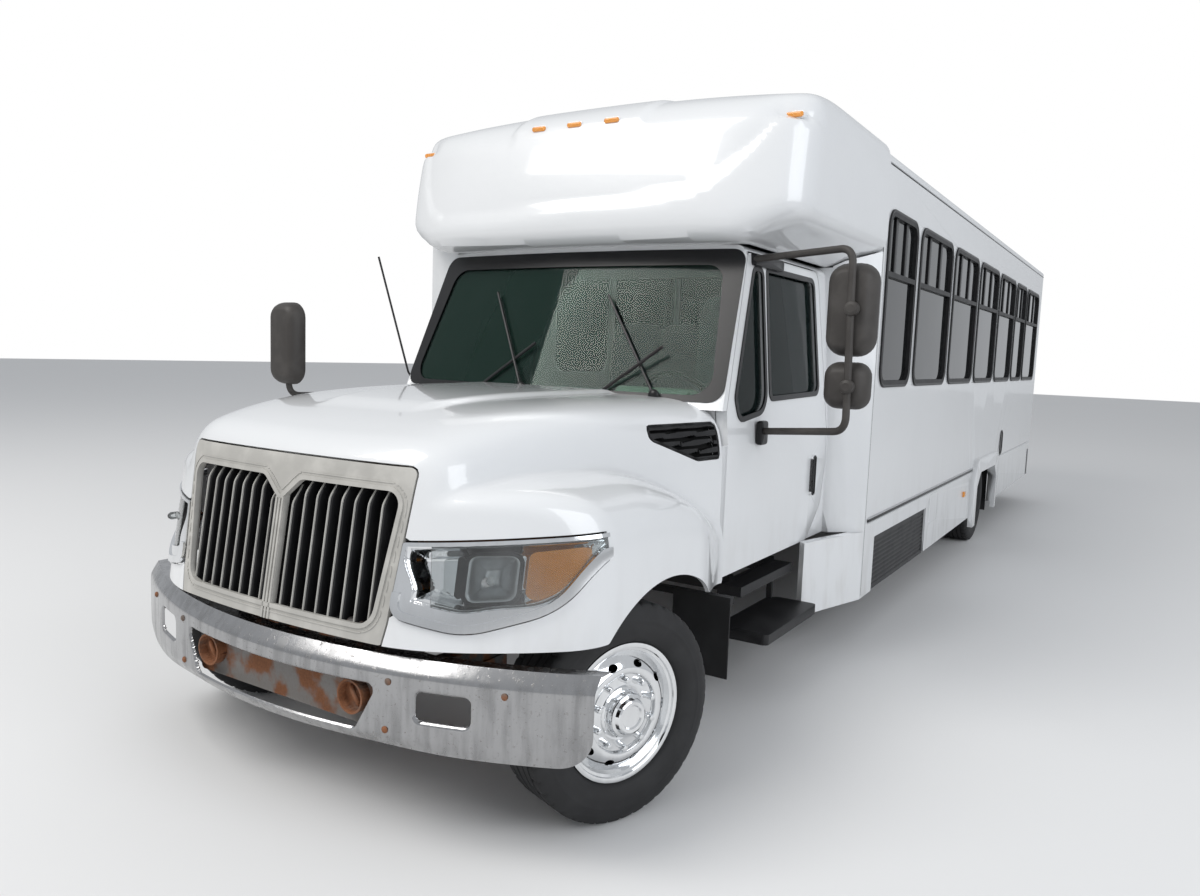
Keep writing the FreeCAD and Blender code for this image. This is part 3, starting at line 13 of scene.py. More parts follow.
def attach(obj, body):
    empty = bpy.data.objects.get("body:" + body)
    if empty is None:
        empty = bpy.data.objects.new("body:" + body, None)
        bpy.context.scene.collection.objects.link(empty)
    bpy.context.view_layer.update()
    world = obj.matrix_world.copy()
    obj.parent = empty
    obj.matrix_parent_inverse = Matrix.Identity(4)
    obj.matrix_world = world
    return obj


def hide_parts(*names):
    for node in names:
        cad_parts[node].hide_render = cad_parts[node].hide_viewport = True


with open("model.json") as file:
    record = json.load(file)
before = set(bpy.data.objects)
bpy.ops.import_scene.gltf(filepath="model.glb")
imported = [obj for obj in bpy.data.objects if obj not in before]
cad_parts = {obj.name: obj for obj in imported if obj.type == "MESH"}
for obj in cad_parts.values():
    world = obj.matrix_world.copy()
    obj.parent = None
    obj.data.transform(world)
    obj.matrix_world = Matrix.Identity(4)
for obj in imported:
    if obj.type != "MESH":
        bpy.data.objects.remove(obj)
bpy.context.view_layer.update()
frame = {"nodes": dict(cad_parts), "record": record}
AXLE = -4.790


# Shader maths
class Wire:
    """One shader socket; an expression on it adds Math nodes."""

    def __init__(self, finish, link):
        self.finish, self.link = finish, link

    def maths(self, operation, first, second=0.0):
        return self.finish.node("Math", {0: first, 1: second}, {"operation": operation})

    def __add__(self, other):
        return self.maths("ADD", self, other)

    def __rsub__(self, other):
        return self.maths("SUBTRACT", other, self)

    def __mul__(self, other):
        return self.maths("MULTIPLY", self, other)

    def sine(self):
        return self.maths("SINE", self)

    __radd__ = __add__


class Finish:
    """A material: its Principled shader with fixed values, and the nodes that vary it over a surface."""
    slot = None

    def __init__(self, name, colour, **fixed):
        self.material = bpy.data.materials.new(name)
        self.material.use_nodes = True
        self.tree = self.material.node_tree
        self.shader = self.tree.nodes["Principled BSDF"]
        self.colour = (*colour, 1.0)
        self.fix(Base_Color=self.colour, **fixed)

    def fix(self, **values):
        for name, value in values.items():
            self.shader.inputs[name.replace("_", " ")].default_value = value

    def node(self, kind, inputs=None, settings=None, output=0):
        made = self.tree.nodes.new("ShaderNode" + kind)
        for name, value in (settings or {}).items():
            setattr(made, name, value)
        for name, value in (inputs or {}).items():
            if isinstance(value, Wire):
                self.tree.links.new(value.link, made.inputs[name])
            else:
                made.inputs[name].default_value = value
        return Wire(self, made.outputs[output])

    def feed(self, name, wire):
        self.tree.links.new(wire.link, self.shader.inputs[name])

    def place(self, scale=(1, 1, 1)):
        return self.node("Mapping", {"Vector": self.node("TexCoord", output="Object"), "Scale": scale})

    def noise(self, size, scale=(1, 1, 1), detail=3.0):
        return self.node("TexNoise", {"Vector": self.place(scale), "Scale": 1 / size, "Detail": detail})

    def step(self, value, low, high):
        """Rises smoothly from 0 at low to 1 at high."""
        return self.node("MapRange", {"Value": value, "From Min": low, "From Max": high},
                         {"interpolation_type": "SMOOTHSTEP"})

    def axis(self, name):
        return self.node("SeparateXYZ", {0: self.node("TexCoord", output="Object")}, output=name)

    def blend(self, factor, first, second):
        return self.node("Mix", {0: factor, 6: first, 7: second}, {"data_type": "RGBA"}, output=2)

    def relief(self, height, depth):
        self.feed("Normal", self.node("Bump", {"Height": height, "Distance": depth, "Strength": 1.0}))


ROAD_DUST = (0.30, 0.27, 0.23, 1)
STAIN = (0.10, 0.08, 0.06, 1)
RUST = ((0.12, 0.045, 0.02, 1), (0.30, 0.12, 0.05, 1))
CHALKED = (0.16, 0.13, 0.11, 1)


def tinted(colour, factor):
    return tuple(c * factor for c in colour[:3]) + (1.0,)


def painted(name, colour, dust=0.3, rough=0.3, shine=1.0):
    """Gloss paint: a faint cloud of tone, a moulded skin's ripple, and road dust that thins out upwards."""
    f = Finish(name, colour, Roughness=rough, Coat_Weight=shine, Coat_Roughness=0.06)
    cloud = f.noise(0.6)
    grime = f.step(f.axis("Z"), 1.15, 0.25) * f.step(f.noise(0.09, (1, 1, 0.25), 5.0), 0.42, 0.78) * dust
    tone = f.blend(f.step(cloud, 0.3, 0.7) * 0.5, f.colour, tinted(f.colour, 0.955))
    f.feed("Base Color", f.blend(grime, tone, ROAD_DUST))
    f.feed("Roughness", rough + grime * 0.4 + f.step(f.noise(0.02), 0.4, 0.7) * 0.04)
    f.relief(f.noise(0.05, detail=1.0), 0.0006)
    return f


def metal(name, colour, rough, streaks, spots):
    """Bare metal: upright streaks that dull it, and small stains."""
    f = Finish(name, colour, Metallic=1.0, Roughness=rough)
    run = f.noise(0.03, (1, 1, 0.12), 5.0)
    cloud = f.noise(0.14, detail=5.0)
    mask = f.step(run * 0.7 + cloud * 0.3, 0.40, 0.66) * streaks
    spot = f.step(f.noise(0.012, detail=6.0), 0.60, 0.72) * spots
    tone = f.blend(mask, f.colour, tinted(f.colour, 0.52))
    f.feed("Base Color", f.blend(spot, tone, STAIN))
    f.feed("Roughness", rough + mask * 0.24 + spot * 0.4)
    f.feed("Metallic", 1 - spot * 0.8)
    f.relief(run * 0.5 + spot, 0.0004)
    return f


def plastic(name, colour, rough=0.5, grain=0.0012, depth=0.0002, worn=0.25):
    """Moulded plastic or rubber: fine grain and a greyed bloom in patches."""
    f = Finish(name, colour, Roughness=rough, Specular_IOR_Level=0.3)
    bloom = f.step(f.noise(0.11, detail=6.0), 0.42, 0.72) * worn
    pale = tuple(min(1.0, c * 1.6 + 0.02) for c in colour) + (1.0,)
    f.feed("Base Color", f.blend(bloom, f.colour, pale))
    f.feed("Roughness", rough + bloom * 0.3)
    f.relief(f.noise(grain * 4, detail=2.0), depth)
    return f


def rusted(name, colour, rust=0.5):
    """Old chassis steel: paint that gives way to brown rust in clouds and specks."""
    f = Finish(name, colour, Roughness=0.6)
    cloud = f.noise(0.12, detail=8.0)
    mask = f.step(cloud, 0.62 - 0.3 * rust, 0.72 - 0.2 * rust)
    grain = f.noise(0.008, detail=4.0)
    paint = f.blend(f.step(grain, 0.3, 0.8) * 0.4, f.colour, CHALKED)
    f.feed("Base Color", f.blend(mask, paint, f.blend(grain, *RUST)))
    f.feed("Roughness", 0.5 + mask * 0.35)
    f.relief(grain * mask + cloud * 0.4, 0.0015)
    return f


def glazing(name, colour, clear, body, rough, dust):
    """Glass: a clear view through a gloss skin, whose share is body and more in dust and at a slant."""
    f = Finish(name, colour, Roughness=rough, Coat_Weight=1.0, Coat_Roughness=0.01, IOR=1.5)
    through = f.node("BsdfTransparent", {"Color": (*clear, 1.0)})
    edge = f.node("Fresnel", {"IOR": 1.45})
    film = f.step(f.noise(0.25, detail=6.0), 0.35, 0.85) * dust
    f.feed("Roughness", rough + film)
    mixed = f.node("MixShader", {0: edge + film + body, 1: through, 2: Wire(f, f.shader.outputs[0])})
    f.tree.links.new(mixed.link, f.tree.nodes["Material Output"].inputs["Surface"])
    return f


white = painted("white_gelcoat", (0.71, 0.72, 0.73))
trim_white = painted("white_moulding", (0.76, 0.77, 0.775), 0.5, 0.42, 0.4)
chrome = metal("chrome_bright", (0.82, 0.83, 0.84), 0.07, 0.15, 0.04)
aged_chrome = metal("chrome_aged", (0.40, 0.40, 0.405), 0.17, 0.55, 0.35)
silver = metal("brushed_aluminium", (0.62, 0.63, 0.64), 0.34, 0.2, 0.05)
satin_grey = plastic("grille_grey", (0.40, 0.39, 0.365), 0.42, 0.001, 0.0001, 0.35)
black = plastic("black_moulding", (0.013, 0.013, 0.014), 0.42)
rubber = plastic("black_rubber", (0.018, 0.018, 0.019), 0.6)
frame_black = rusted("chassis_paint", (0.022, 0.022, 0.024), 0.35)
rusty = rusted("rusty_steel", (0.10, 0.075, 0.06), 0.95)
worn_steel = rusted("worn_steel_plate", (0.20, 0.19, 0.18), 0.6)
dash = plastic("dash_grey_green", (0.36, 0.42, 0.37), 0.55, 0.0015, 0.0003, 0.1)
floor_rubber = plastic("floor_rubber", (0.05, 0.05, 0.055), 0.7, 0.004, 0.0006, 0.4)
# Near-black finish: the real black of a door seal and a drum, and painted shade as the sheets behind the
# grille and the side outlets
black_and_painted_shade = plastic("black_and_painted_shade", (0.006, 0.006, 0.006), 0.8)
seal_black = plastic("seal_black", (0.010, 0.010, 0.011), 0.28, worn=0.05)
mirror_grey = plastic("mirror_shell_grey", (0.045, 0.041, 0.038), 0.48, 0.001, 0.00012, 0.4)
windshield_glass = glazing("windshield_glass", (0.03, 0.05, 0.045), (0.72, 0.86, 0.80), 0.06, 0.01, 0.05)
door_pane_glass = glazing("door_pane_glass", (0.02, 0.03, 0.03), (0.55, 0.66, 0.63), 0.10, 0.01, 0.03)
entry_glass = glazing("entry_glass", (0.02, 0.025, 0.025), (0.45, 0.50, 0.49), 0.14, 0.01, 0.03)
window_glass = glazing("dark_window_glass", (0.006, 0.007, 0.008), (0.10, 0.11, 0.12), 0.42, 0.01, 0.02)
lens_clear = glazing("lamp_lens", (0.5, 0.5, 0.5), (0.92, 0.94, 0.94), 0.05, 0.03, 0.12)


def ribbed_lens(name, colour, pitch, glow):
    """Coloured lens: small bosses pressed in its back in rows, deeper colour between them."""
    f = Finish(name, colour, Roughness=0.12, Coat_Weight=1.0, Coat_Roughness=0.03)
    columns, rows = ((f.axis(name) * (2 * math.pi / pitch)).sine() for name in "XZ")
    f.feed("Base Color",
           f.blend(f.step(columns * rows, -0.8, 0.8), tinted(colour, 0.7), tinted(colour, 1.25)))
    f.fix(Emission_Color=f.colour, Emission_Strength=glow)
    f.relief(columns * rows, 0.0012)
    return f


amber = ribbed_lens("amber_lens", (0.80, 0.30, 0.03), 0.007, 0.10)
red = ribbed_lens("red_lens", (0.50, 0.015, 0.01), 0.007, 0.05)


def cloth(name, colour):
    """Seat cloth: a weave of crossing threads over a soft mottling."""
    f = Finish(name, colour, Roughness=0.9, Sheen_Weight=0.4)
    warp, weft = (f.node("TexWave", {"Vector": f.place(), "Scale": 260.0}, {"bands_direction": name})
                  for name in "XZ")
    worn = f.step(f.noise(0.05, detail=5.0) + warp * 0.2, 0.4, 0.8)
    f.feed("Base Color", f.blend(worn, tinted(colour, 0.7), tinted(colour, 1.3)))
    f.relief(warp * weft, 0.0006)
    return f


seat_cloth = cloth("seat_cloth", (0.10, 0.115, 0.14))

# The record's slot that each finish is given
for slot, finishes in (("white_gelcoat", (white, trim_white)), ("chrome", (chrome, silver)),
                       ("dull_chrome", (aged_chrome,)), ("grey_grille", (satin_grey,)),
                       ("black_plastic", (black, black_and_painted_shade, seal_black, mirror_grey)), ("tyre", (rubber,)),
                       ("rusty_steel", (rusty,)), ("lamp_clear", (lens_clear,)), ("lamp_amber", (amber,)),
                       ("seat_fabric", (seat_cloth,))):
    for finish in finishes:
        finish.slot = slot


# Shapes
class Shape:
    """Points and faces; a triangle's fourth number is -1."""

    def __init__(self, points, faces):
        self.points = np.asarray(points, float).reshape(-1, 3)
        faces = np.asarray(faces, int)
        if faces.shape[1] == 3:
            faces = np.hstack([faces, -np.ones((len(faces), 1), int)])
        self.faces = faces

    def __add__(self, other):
        later = np.where(other.faces < 0, -1, other.faces + len(self.points))
        return Shape(np.vstack([self.points, other.points]), np.vstack([self.faces, later]))

    def moved(self, x=0.0, y=0.0, z=0.0):
        return Shape(self.points + (x, y, z), self.faces)

    def turned(self, axis, degrees):
        turn = np.array(Matrix.Rotation(math.radians(degrees), 3, axis))
        return Shape(self.points @ turn.T, self.faces)

    def mirrored(self):
        """The same on the other side of the bus, with each face turned round."""
        tri = self.faces[:, 3] < 0
        faces = self.faces[:, ::-1].copy()
        faces[tri] = np.hstack([self.faces[tri][:, 2::-1], self.faces[tri][:, 3:]])
        return Shape(self.points * (-1, 1, 1), faces)

    def both(self):
        return self + self.mirrored()

    def triangles(self):
        quads = self.faces[self.faces[:, 3] >= 0]
        tris = self.faces[self.faces[:, 3] < 0][:, :3]
        return Shape(self.points, np.vstack([tris, quads[:, [0, 1, 2]], quads[:, [0, 2, 3]]]))


def joined(shapes):
    shapes = list(shapes)
    total = shapes[0]
    for shape in shapes[1:]:
        total = total + shape
    return total


def grid_faces(rows, columns, close_rows=False, close_columns=False):
    i = np.arange(rows if close_rows else rows - 1)[:, None]
    j = np.arange(columns if close_columns else columns - 1)[None, :]
    k, m = (i + 1) % rows, (j + 1) % columns
    corners = np.broadcast_arrays(i * columns + j, i * columns + m, k * columns + m, k * columns + j)
    return np.stack(corners, -1).reshape(-1, 4)


def grid_points(x, y, z):
    """One point for each crossing of rows and columns."""
    return np.stack(np.broadcast_arrays(x, y, z), -1)


def surface(points, close_rows=False, close_columns=False):
    """A surface from a grid of points."""
    rows, columns = points.shape[:2]
    return Shape(points.reshape(-1, 3), grid_faces(rows, columns, close_rows, close_columns))


def rounded(corners, radius=0.0, steps=6):
    """An outline whose corners (a, b, radius) become arcs, each tangent to its two edges."""
    count = len(corners)
    out = []
    for i in range(count):
        here = np.array(corners[i][:2], float)
        r = corners[i][2] if len(corners[i]) > 2 else radius
        back = np.array(corners[i - 1][:2], float) - here
        on = np.array(corners[(i + 1) % count][:2], float) - here
        back, on = back / np.linalg.norm(back), on / np.linalg.norm(on)
        half = math.acos(np.clip(back @ on, -1, 1)) / 2
        if r <= 0 or half > 1.55:
            out.append(here[None])
            continue
        middle = (back + on) / np.linalg.norm(back + on)
        centre = here + middle * r / math.sin(half)
        first, last = here + back * r / math.tan(half) - centre, here + on * r / math.tan(half) - centre
        a0 = math.atan2(first[1], first[0])
        da = (math.atan2(last[1], last[0]) - a0 + math.pi) % (2 * math.pi) - math.pi
        a = a0 + da * np.linspace(0, 1, steps + 1)
        out.append(centre + r * np.stack([np.cos(a), np.sin(a)], -1))
    return np.vstack(out)


def panel(a0, a1, b0, b1, radius=0.0, steps=6):
    """A rounded rectangle."""
    return rounded([(a0, b0), (a1, b0), (a1, b1), (a0, b1)], radius, steps)


def drawn_in(outline, distance):
    """Each point of an outline moves inwards along the mean of its two edges' normals."""
    edge = np.roll(outline, -1, 0) - outline
    area = np.sum(outline[:, 0] * np.roll(outline[:, 1], -1) - np.roll(outline[:, 0], -1) * outline[:, 1])
    normal = np.stack([-edge[:, 1], edge[:, 0]], -1) * np.sign(area)
    normal /= np.maximum(np.linalg.norm(normal, axis=1, keepdims=True), 1e-9)
    mean = normal + np.roll(normal, 1, 0)
    mean /= np.maximum(np.sum(mean * normal, 1, keepdims=True), 0.3)
    return outline + mean * distance


PLANES = {"x": (1, 2, 0), "y": (0, 2, 1), "z": (0, 1, 2)}


def lifted(outline, height, axis):
    """Points of a flat outline set at a height along an axis."""
    a, b, c = PLANES[axis]
    points = np.empty((len(outline), 3))
    points[:, a], points[:, b], points[:, c] = outline[:, 0], outline[:, 1], height
    return points


def moulding(outline, profile, axis):
    """A profile (distance inwards, height along the axis) carried round an outline."""
    rings = np.stack([lifted(drawn_in(outline, d), h, axis) for d, h in profile])
    return surface(rings, True, True)


def capped(rings):
    """A wall through the rings, closed at both ends by fans about their middles."""
    count = len(rings[0])
    i = np.arange(count)
    fan = np.stack([i, (i + 1) % count, np.full(count, count)], -1)
    ends = [Shape(np.vstack([ring, ring.mean(0)]), fan) for ring in (rings[0], rings[-1])]
    return joined([surface(np.stack(rings), False, True)] + ends)


def slab(outline, low, high, axis, edge=0.003):
    """A plate: the outline from low to high with both rims drawn in."""
    profile = [(edge, low), (edge * 0.3, low + edge * 0.3), (0, low + edge), (0, high - edge),
               (edge * 0.3, high - edge * 0.3), (edge, high)]
    return capped([lifted(drawn_in(outline, d), h, axis) for d, h in profile])


def box(x0, x1, y0, y1, z0, z1, edge=0.003):
    return slab(panel(x0, x1, y0, y1, edge, 3), z0, z1, "z", edge)


def turned(profile, centre=(0, 0, 0), axis=(1, 0, 0), count=96):
    """Each profile point (along, radius) goes round the axis: centre + along * axis + radius * (cos t * u
    + sin t * v)."""
    axis = np.array(axis, float) / np.linalg.norm(axis)
    u = np.cross(axis, (0.0, 0.0, 1.0) if abs(axis[2]) < 0.9 else (0.0, 1.0, 0.0))
    u /= np.linalg.norm(u)
    v = np.cross(axis, u)
    t = np.linspace(0, 2 * math.pi, count, endpoint=False)
    spoke = np.cos(t)[:, None] * u + np.sin(t)[:, None] * v
    profile = np.array(profile, float)
    points = np.array(centre) + profile[:, 0, None, None] * axis + profile[:, 1, None, None] * spoke
    return surface(points, False, True)


def bent(path, radius, steps=8):
    """A path whose inner points become curves, blended along a parabola between two points of its runs."""
    path = np.array(path, float)
    out = [path[:1]]
    for a, b, c in zip(path, path[1:], path[2:]):
        p = b + (a - b) * min(0.49, radius / np.linalg.norm(a - b))
        q = b + (c - b) * min(0.49, radius / np.linalg.norm(c - b))
        t = np.linspace(0, 1, steps + 1)[:, None]
        out.append((1 - t) ** 2 * p + 2 * t * (1 - t) * b + t ** 2 * q)
    out.append(path[-1:])
    return np.vstack(out)


def tube(path, radius, count, bend=0.05):
    """A circle carried square to a bent path; its sideways direction is turned as little as can be."""
    path = bent(path, bend)
    tangent = np.gradient(path, axis=0)
    tangent /= np.linalg.norm(tangent, axis=1, keepdims=True)
    side = np.cross(tangent[0], (0.31, 0.17, 0.93))
    sides = []
    for t in tangent:
        side = side - t * (side @ t)
        side = side / np.linalg.norm(side)
        sides.append(side)
    sides = np.array(sides)
    ups = np.cross(tangent, sides)
    a = np.linspace(0, 2 * math.pi, count, endpoint=False)[None, :, None]
    return capped(path[:, None] + radius * np.cos(a) * sides[:, None] + radius * np.sin(a) * ups[:, None])


def ball(centre, radii, rows=12, columns=20):
    """An ellipsoid from its two angles."""
    a = np.linspace(0, math.pi, rows)[:, None]
    b = np.linspace(0, 2 * math.pi, columns, endpoint=False)[None]
    points = np.stack([np.sin(a) * np.cos(b), np.sin(a) * np.sin(b), np.cos(a) + 0 * b], -1)
    return surface(points * radii + centre, False, True)


def outline_gap(points, outline):
    """Distance to a flat outline, negative inside: the nearest edge gives the size, the count of crossings
    the sign."""
    following = np.roll(outline, -1, 0)
    gap = np.full(len(points), 1e9)
    inside = np.zeros(len(points), bool)
    for p, q, d in zip(outline, following, following - outline):
        t = np.clip(((points - p) @ d) / max(d @ d, 1e-12), 0, 1)[:, None]
        gap = np.minimum(gap, np.linalg.norm(points - p - t * d, axis=1))
        straddles = (p[1] > points[:, 1]) != (q[1] > points[:, 1])
        height = np.where(abs(d[1]) < 1e-12, 1e-12, d[1])
        inside ^= straddles & (points[:, 0] < p[0] + (points[:, 1] - p[1]) / height * d[0])
    return np.where(inside, -gap, gap)


def front_gap(p, outline):
    """Distance to an outline seen from the front."""
    return outline_gap(p[:, [0, 2]], outline)


def pair_gap(p, outline):
    """Distance to an outline on the left, seen from the front, or to its mirror image."""
    return outline_gap(np.stack([np.abs(p[:, 0]), p[:, 2]], -1), outline)


def side_gap(p, outline):
    """Distance to an outline seen from the side."""
    return outline_gap(p[:, 1:], outline)


def trim(shape, keep):
    """Cuts triangles along keep(points) = 0 and drops the negative side."""
    shape = shape.triangles()
    points, tri = shape.points, shape.faces[:, :3]
    value = keep(points)
    value = np.where(np.abs(value) < 1e-7, 1e-7, value)
    kept = (value[tri] > 0).sum(1)
    whole = tri[kept == 3]
    pieces = [Shape(points, whole)] if len(whole) else []

    def cut(a, b):
        share = (value[a] / (value[a] - value[b]))[:, None]
        return points[a] + share * (points[b] - points[a])

    for wanted in (1, 2):
        some = tri[kept == wanted]
        if not len(some):
            continue
        odd = np.argmax((value[some] > 0) == (wanted == 1), axis=1)
        rows = np.arange(len(some))
        a, b, c = (some[rows, (odd + k) % 3] for k in range(3))
        ab, ac = cut(a, b), cut(a, c)
        n = len(some)
        i = np.arange(n)
        if wanted == 1:
            pieces.append(Shape(np.vstack([points[a], ab, ac]), np.stack([i, i + n, i + 2 * n], -1)))
        else:
            pieces.append(Shape(np.vstack([ab, points[b], points[c], ac]),
                                np.stack([i, i + n, i + 2 * n, i + 3 * n], -1)))
    return joined(pieces)


def welded(shape):
    """The same surface with equal points made one."""
    keys, index = np.unique(np.round(shape.points / 2e-5).astype(np.int64), axis=0, return_inverse=True)
    index = index.ravel()
    points = np.zeros((len(keys), 3))
    points[index] = shape.points
    tri = index[shape.triangles().faces[:, :3]]
    good = (tri[:, 0] != tri[:, 1]) & (tri[:, 1] != tri[:, 2]) & (tri[:, 2] != tri[:, 0])
    return Shape(points, tri[good])


def point_normals(shape):
    """The mean of the normals of the faces round each point."""
    p, tri = shape.points, shape.faces[:, :3]
    n = np.cross(p[tri[:, 1]] - p[tri[:, 0]], p[tri[:, 2]] - p[tri[:, 0]])
    total = np.zeros_like(p)
    for k in range(3):
        np.add.at(total, tri[:, k], n)
    return total / np.maximum(np.linalg.norm(total, axis=1, keepdims=True), 1e-12)


def thick(shape, wall, rise=0.0):
    """A shell: the surface raised along its normals, a copy sunk by the wall, and strips along open edges."""
    shape = welded(shape)
    normal = point_normals(shape)
    tri = shape.faces[:, :3]
    n = len(shape.points)
    edges = np.vstack([tri[:, [0, 1]], tri[:, [1, 2]], tri[:, [2, 0]]])
    code, back = edges[:, 0] * n + edges[:, 1], edges[:, 1] * n + edges[:, 0]
    rim = edges[~np.isin(code, back)]
    strip = np.stack([rim[:, 1], rim[:, 0], rim[:, 0] + n, rim[:, 1] + n], -1)
    points = np.vstack([shape.points + normal * rise, shape.points - normal * (wall - rise)])
    return Shape(points, tri) + Shape(points, tri[:, ::-1] + n) + Shape(points, strip)


def shell(shape, keep, wall, rise=0.0):
    """What a cut keeps of a surface, made thick."""
    return thick(trim(shape, keep), wall, rise)


def piece(name, shape, finish, body="root", instead=(), sharp=32):
    """Makes an object of a shape, moved to the part's frame, with faces outwards and shading split at sharp
    angles."""
    mesh = bpy.data.meshes.new(name)
    faces = [row if row[3] >= 0 else row[:3] for row in shape.faces.tolist()]
    mesh.from_pydata((shape.points + (0, AXLE, 0)).tolist(), [], faces)
    net = bmesh.new()
    net.from_mesh(mesh)
    bmesh.ops.remove_doubles(net, verts=net.verts, dist=2e-5)
    bmesh.ops.recalc_face_normals(net, faces=net.faces)
    net.to_mesh(mesh)
    net.free()
    return settle(name, mesh, finish, body, instead, sharp)


def settle(name, mesh, finish, body, instead, sharp):
    mesh.shade_smooth()
    mesh.set_sharp_from_angle(angle=math.radians(sharp))
    mesh.materials.clear()
    mesh.materials.append(finish.material)
    thing = bpy.data.objects.new(name, mesh)
    bpy.context.scene.collection.objects.link(thing)
    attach(thing, body)
    if instead:
        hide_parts(*instead)
    return thing


BODY_OF = {node: name for name, nodes in frame["record"]["behaviour"]["bodies"].items() for node in nodes}


def dressed(node, finish, sharp=30):
    """A merged copy of a CAD node, shaded by its larger faces, stands for the node."""
    mesh = frame["nodes"][node].data.copy()
    net = bmesh.new()
    net.from_mesh(mesh)
    bmesh.ops.remove_doubles(net, verts=net.verts, dist=1e-5)
    net.to_mesh(mesh)
    net.free()
    thing = settle(node + "_finished", mesh, finish, BODY_OF[node], (node,), sharp)
    weigh = thing.modifiers.new("flat_faces", "WEIGHTED_NORMAL")
    weigh.keep_sharp = True
    kept = bpy.data.meshes.new_from_object(thing.evaluated_get(bpy.context.evaluated_depsgraph_get()))
    thing.modifiers.clear()
    thing.data = kept
    return thing


# Hood
# The form is where three things agree: the raised middle, the fenders and the nose.
SPINE_Z = 0.68
NOSE_Y = -0.800
ARCH_Y, ARCH_Z, ARCH_RADIUS = 0.155, 0.22, 0.68
LAMP_BACK = -0.262
OUTLET_X = 0.8
GRILLE_FOOT = 0.742


def smooth_max(a, b, k):
    h = np.clip(0.5 + 0.5 * (a - b) / k, 0, 1)
    return b + (a - b) * h + k * h * (1 - h)


def smooth_min(a, b, k):
    return -smooth_max(-a, -b, k)


def ramp(value, low, high):
    t = np.clip((value - low) / (high - low), 0, 1)
    return t * t * (3 - 2 * t)


def oval_reach(r, x, z, half, tall, power):
    """How far a ray from the spine goes to reach a squared oval |x/half|^p + |z/tall|^p = 1."""
    gauge = (np.abs(x / half) ** power + np.abs(z / tall) ** power) ** (1 / power)
    return r / np.maximum(gauge, 1e-9)


def hood_crown(y):
    """Rises quickly behind the nose and then gently to the windshield."""
    return 1.560 - 0.165 * np.exp(-(y + 0.69) / 0.36)


def hood_inside(p):
    """Depth below the hood's skin, positive inside: a smooth least of the section's reach and the nose's."""
    x, y, z = p[..., 0], p[..., 1], p[..., 2] - SPINE_Z
    r = np.hypot(x, z)
    middle = oval_reach(r, x, z, 0.715 + 0.172 * (y + 0.69), hood_crown(y) - SPINE_Z, 8.5)
    dome = ramp(y, -0.36, -0.20) * (1 - ramp(np.abs(x) - 0.13 * (y + 0.3), 0.235, 0.31))
    middle = middle + 0.018 * dome * (z > 0)
    side = 1.155 - 0.135 * ramp(y, 0.42, 0.98)
    crest = 1.305 - 0.35 * ramp(y, 0.0, 1.35) - 0.06 * ramp(-y, 0.25, 0.85)
    fender = oval_reach(r, x, z, side, crest - SPINE_Z, 7.0)
    section = smooth_max(middle, fender, 0.045)
    a = np.abs(x)
    nose = NOSE_Y + 0.11 * x * x + 0.30 * (np.maximum(0, a - 0.5) / 0.65) ** 2
    nose = nose + 0.105 * (z + SPINE_Z - GRILLE_FOOT) / 0.653
    return smooth_min(section - r, (y - nose) * 0.92, 0.085)


def cast(origin, direction, inside, reach):
    """Where rays leave a form: the interval is halved until the edge lies within it."""
    low, high = np.zeros(direction.shape[:-1]), np.full(direction.shape[:-1], reach)
    for _ in range(24):
        middle = (low + high) / 2
        within = inside(origin + direction * middle[..., None]) > 0
        low, high = np.where(within, middle, low), np.where(within, high, middle)
    return origin + direction * low[..., None]


def hood_skin():
    """Rays square to the spine, then fanned forwards from its front end."""
    rear, front, along, fanned = 0.99, -0.25, 62, 86
    y = np.concatenate([np.linspace(rear, front, along), np.full(fanned, front)])[:, None]
    fan = np.concatenate([np.zeros(along), np.linspace(0, math.pi / 2, fanned + 1)[1:]])[:, None]
    angle = np.radians(np.linspace(100, -100, 171))[None]
    origin = grid_points(0 * angle, y, SPINE_Z)
    direction = grid_points(np.sin(angle) * np.cos(fan), -np.sin(fan), np.cos(angle) * np.cos(fan))
    return surface(cast(origin, direction, hood_inside, 1.9))


def face_of_nose(x, z, sink=0.0):
    """Where a line along the bus meets the nose at x and z, then sunk rearwards."""
    x, z = np.broadcast_arrays(np.asarray(x, float), np.asarray(z, float))
    origin = np.stack([x, np.full(x.shape, -0.30), z], -1)
    ahead = np.broadcast_to(np.array([0.0, -1.0, 0.0]), origin.shape)
    hit = cast(origin, ahead, hood_inside, 0.9)
    hit[..., 1] += sink
    return hit


GRILLE = rounded([(-0.553, GRILLE_FOOT), (-0.567, 0.82, 0.06), (-0.612, 1.347, 0.03), (0.612, 1.347, 0.03),
                  (0.567, 0.82, 0.06), (0.553, GRILLE_FOOT)])
GRILLE_HOLE = rounded([(-0.505, 0.80, 0.07), (-0.566, 1.262, 0.05), (-0.10, 1.262, 0.05), (0, 1.175, 0.02),
                       (0.10, 1.262, 0.05), (0.566, 1.262, 0.05), (0.505, 0.80, 0.07)])
LAMP = rounded([(0.588, 1.098, 0.01), (0.566, 0.846, 0.06), (0.82, 0.80, 0.25), (1.06, 0.88, 0.20),
                (1.19, 1.145, 0.01)])
LOUVRE = rounded([(0.93, 1.285, 0.012), (0.76, 1.285, 0.05), (0.43, 1.395, 0.03), (0.44, 1.452, 0.02),
                  (0.93, 1.452, 0.012)])


def hood_edge(p):
    """Positive on the hood: above its lower edge, outside the arches, ahead of the windshield and doors."""
    x, y, z = p.T
    low = np.interp(y, (-0.9, -0.6, 0.56, 1.01), (0.742, 0.748, 0.748, 0.690))
    arch = np.hypot(y - ARCH_Y, z - ARCH_Z) - ARCH_RADIUS
    rear = 0.948 - 0.10 * (1 - np.clip(np.abs(x) / 0.97, 0, 1) ** 2) * (z > 1.3) - y
    return np.minimum(np.minimum(z - low, arch), rear)


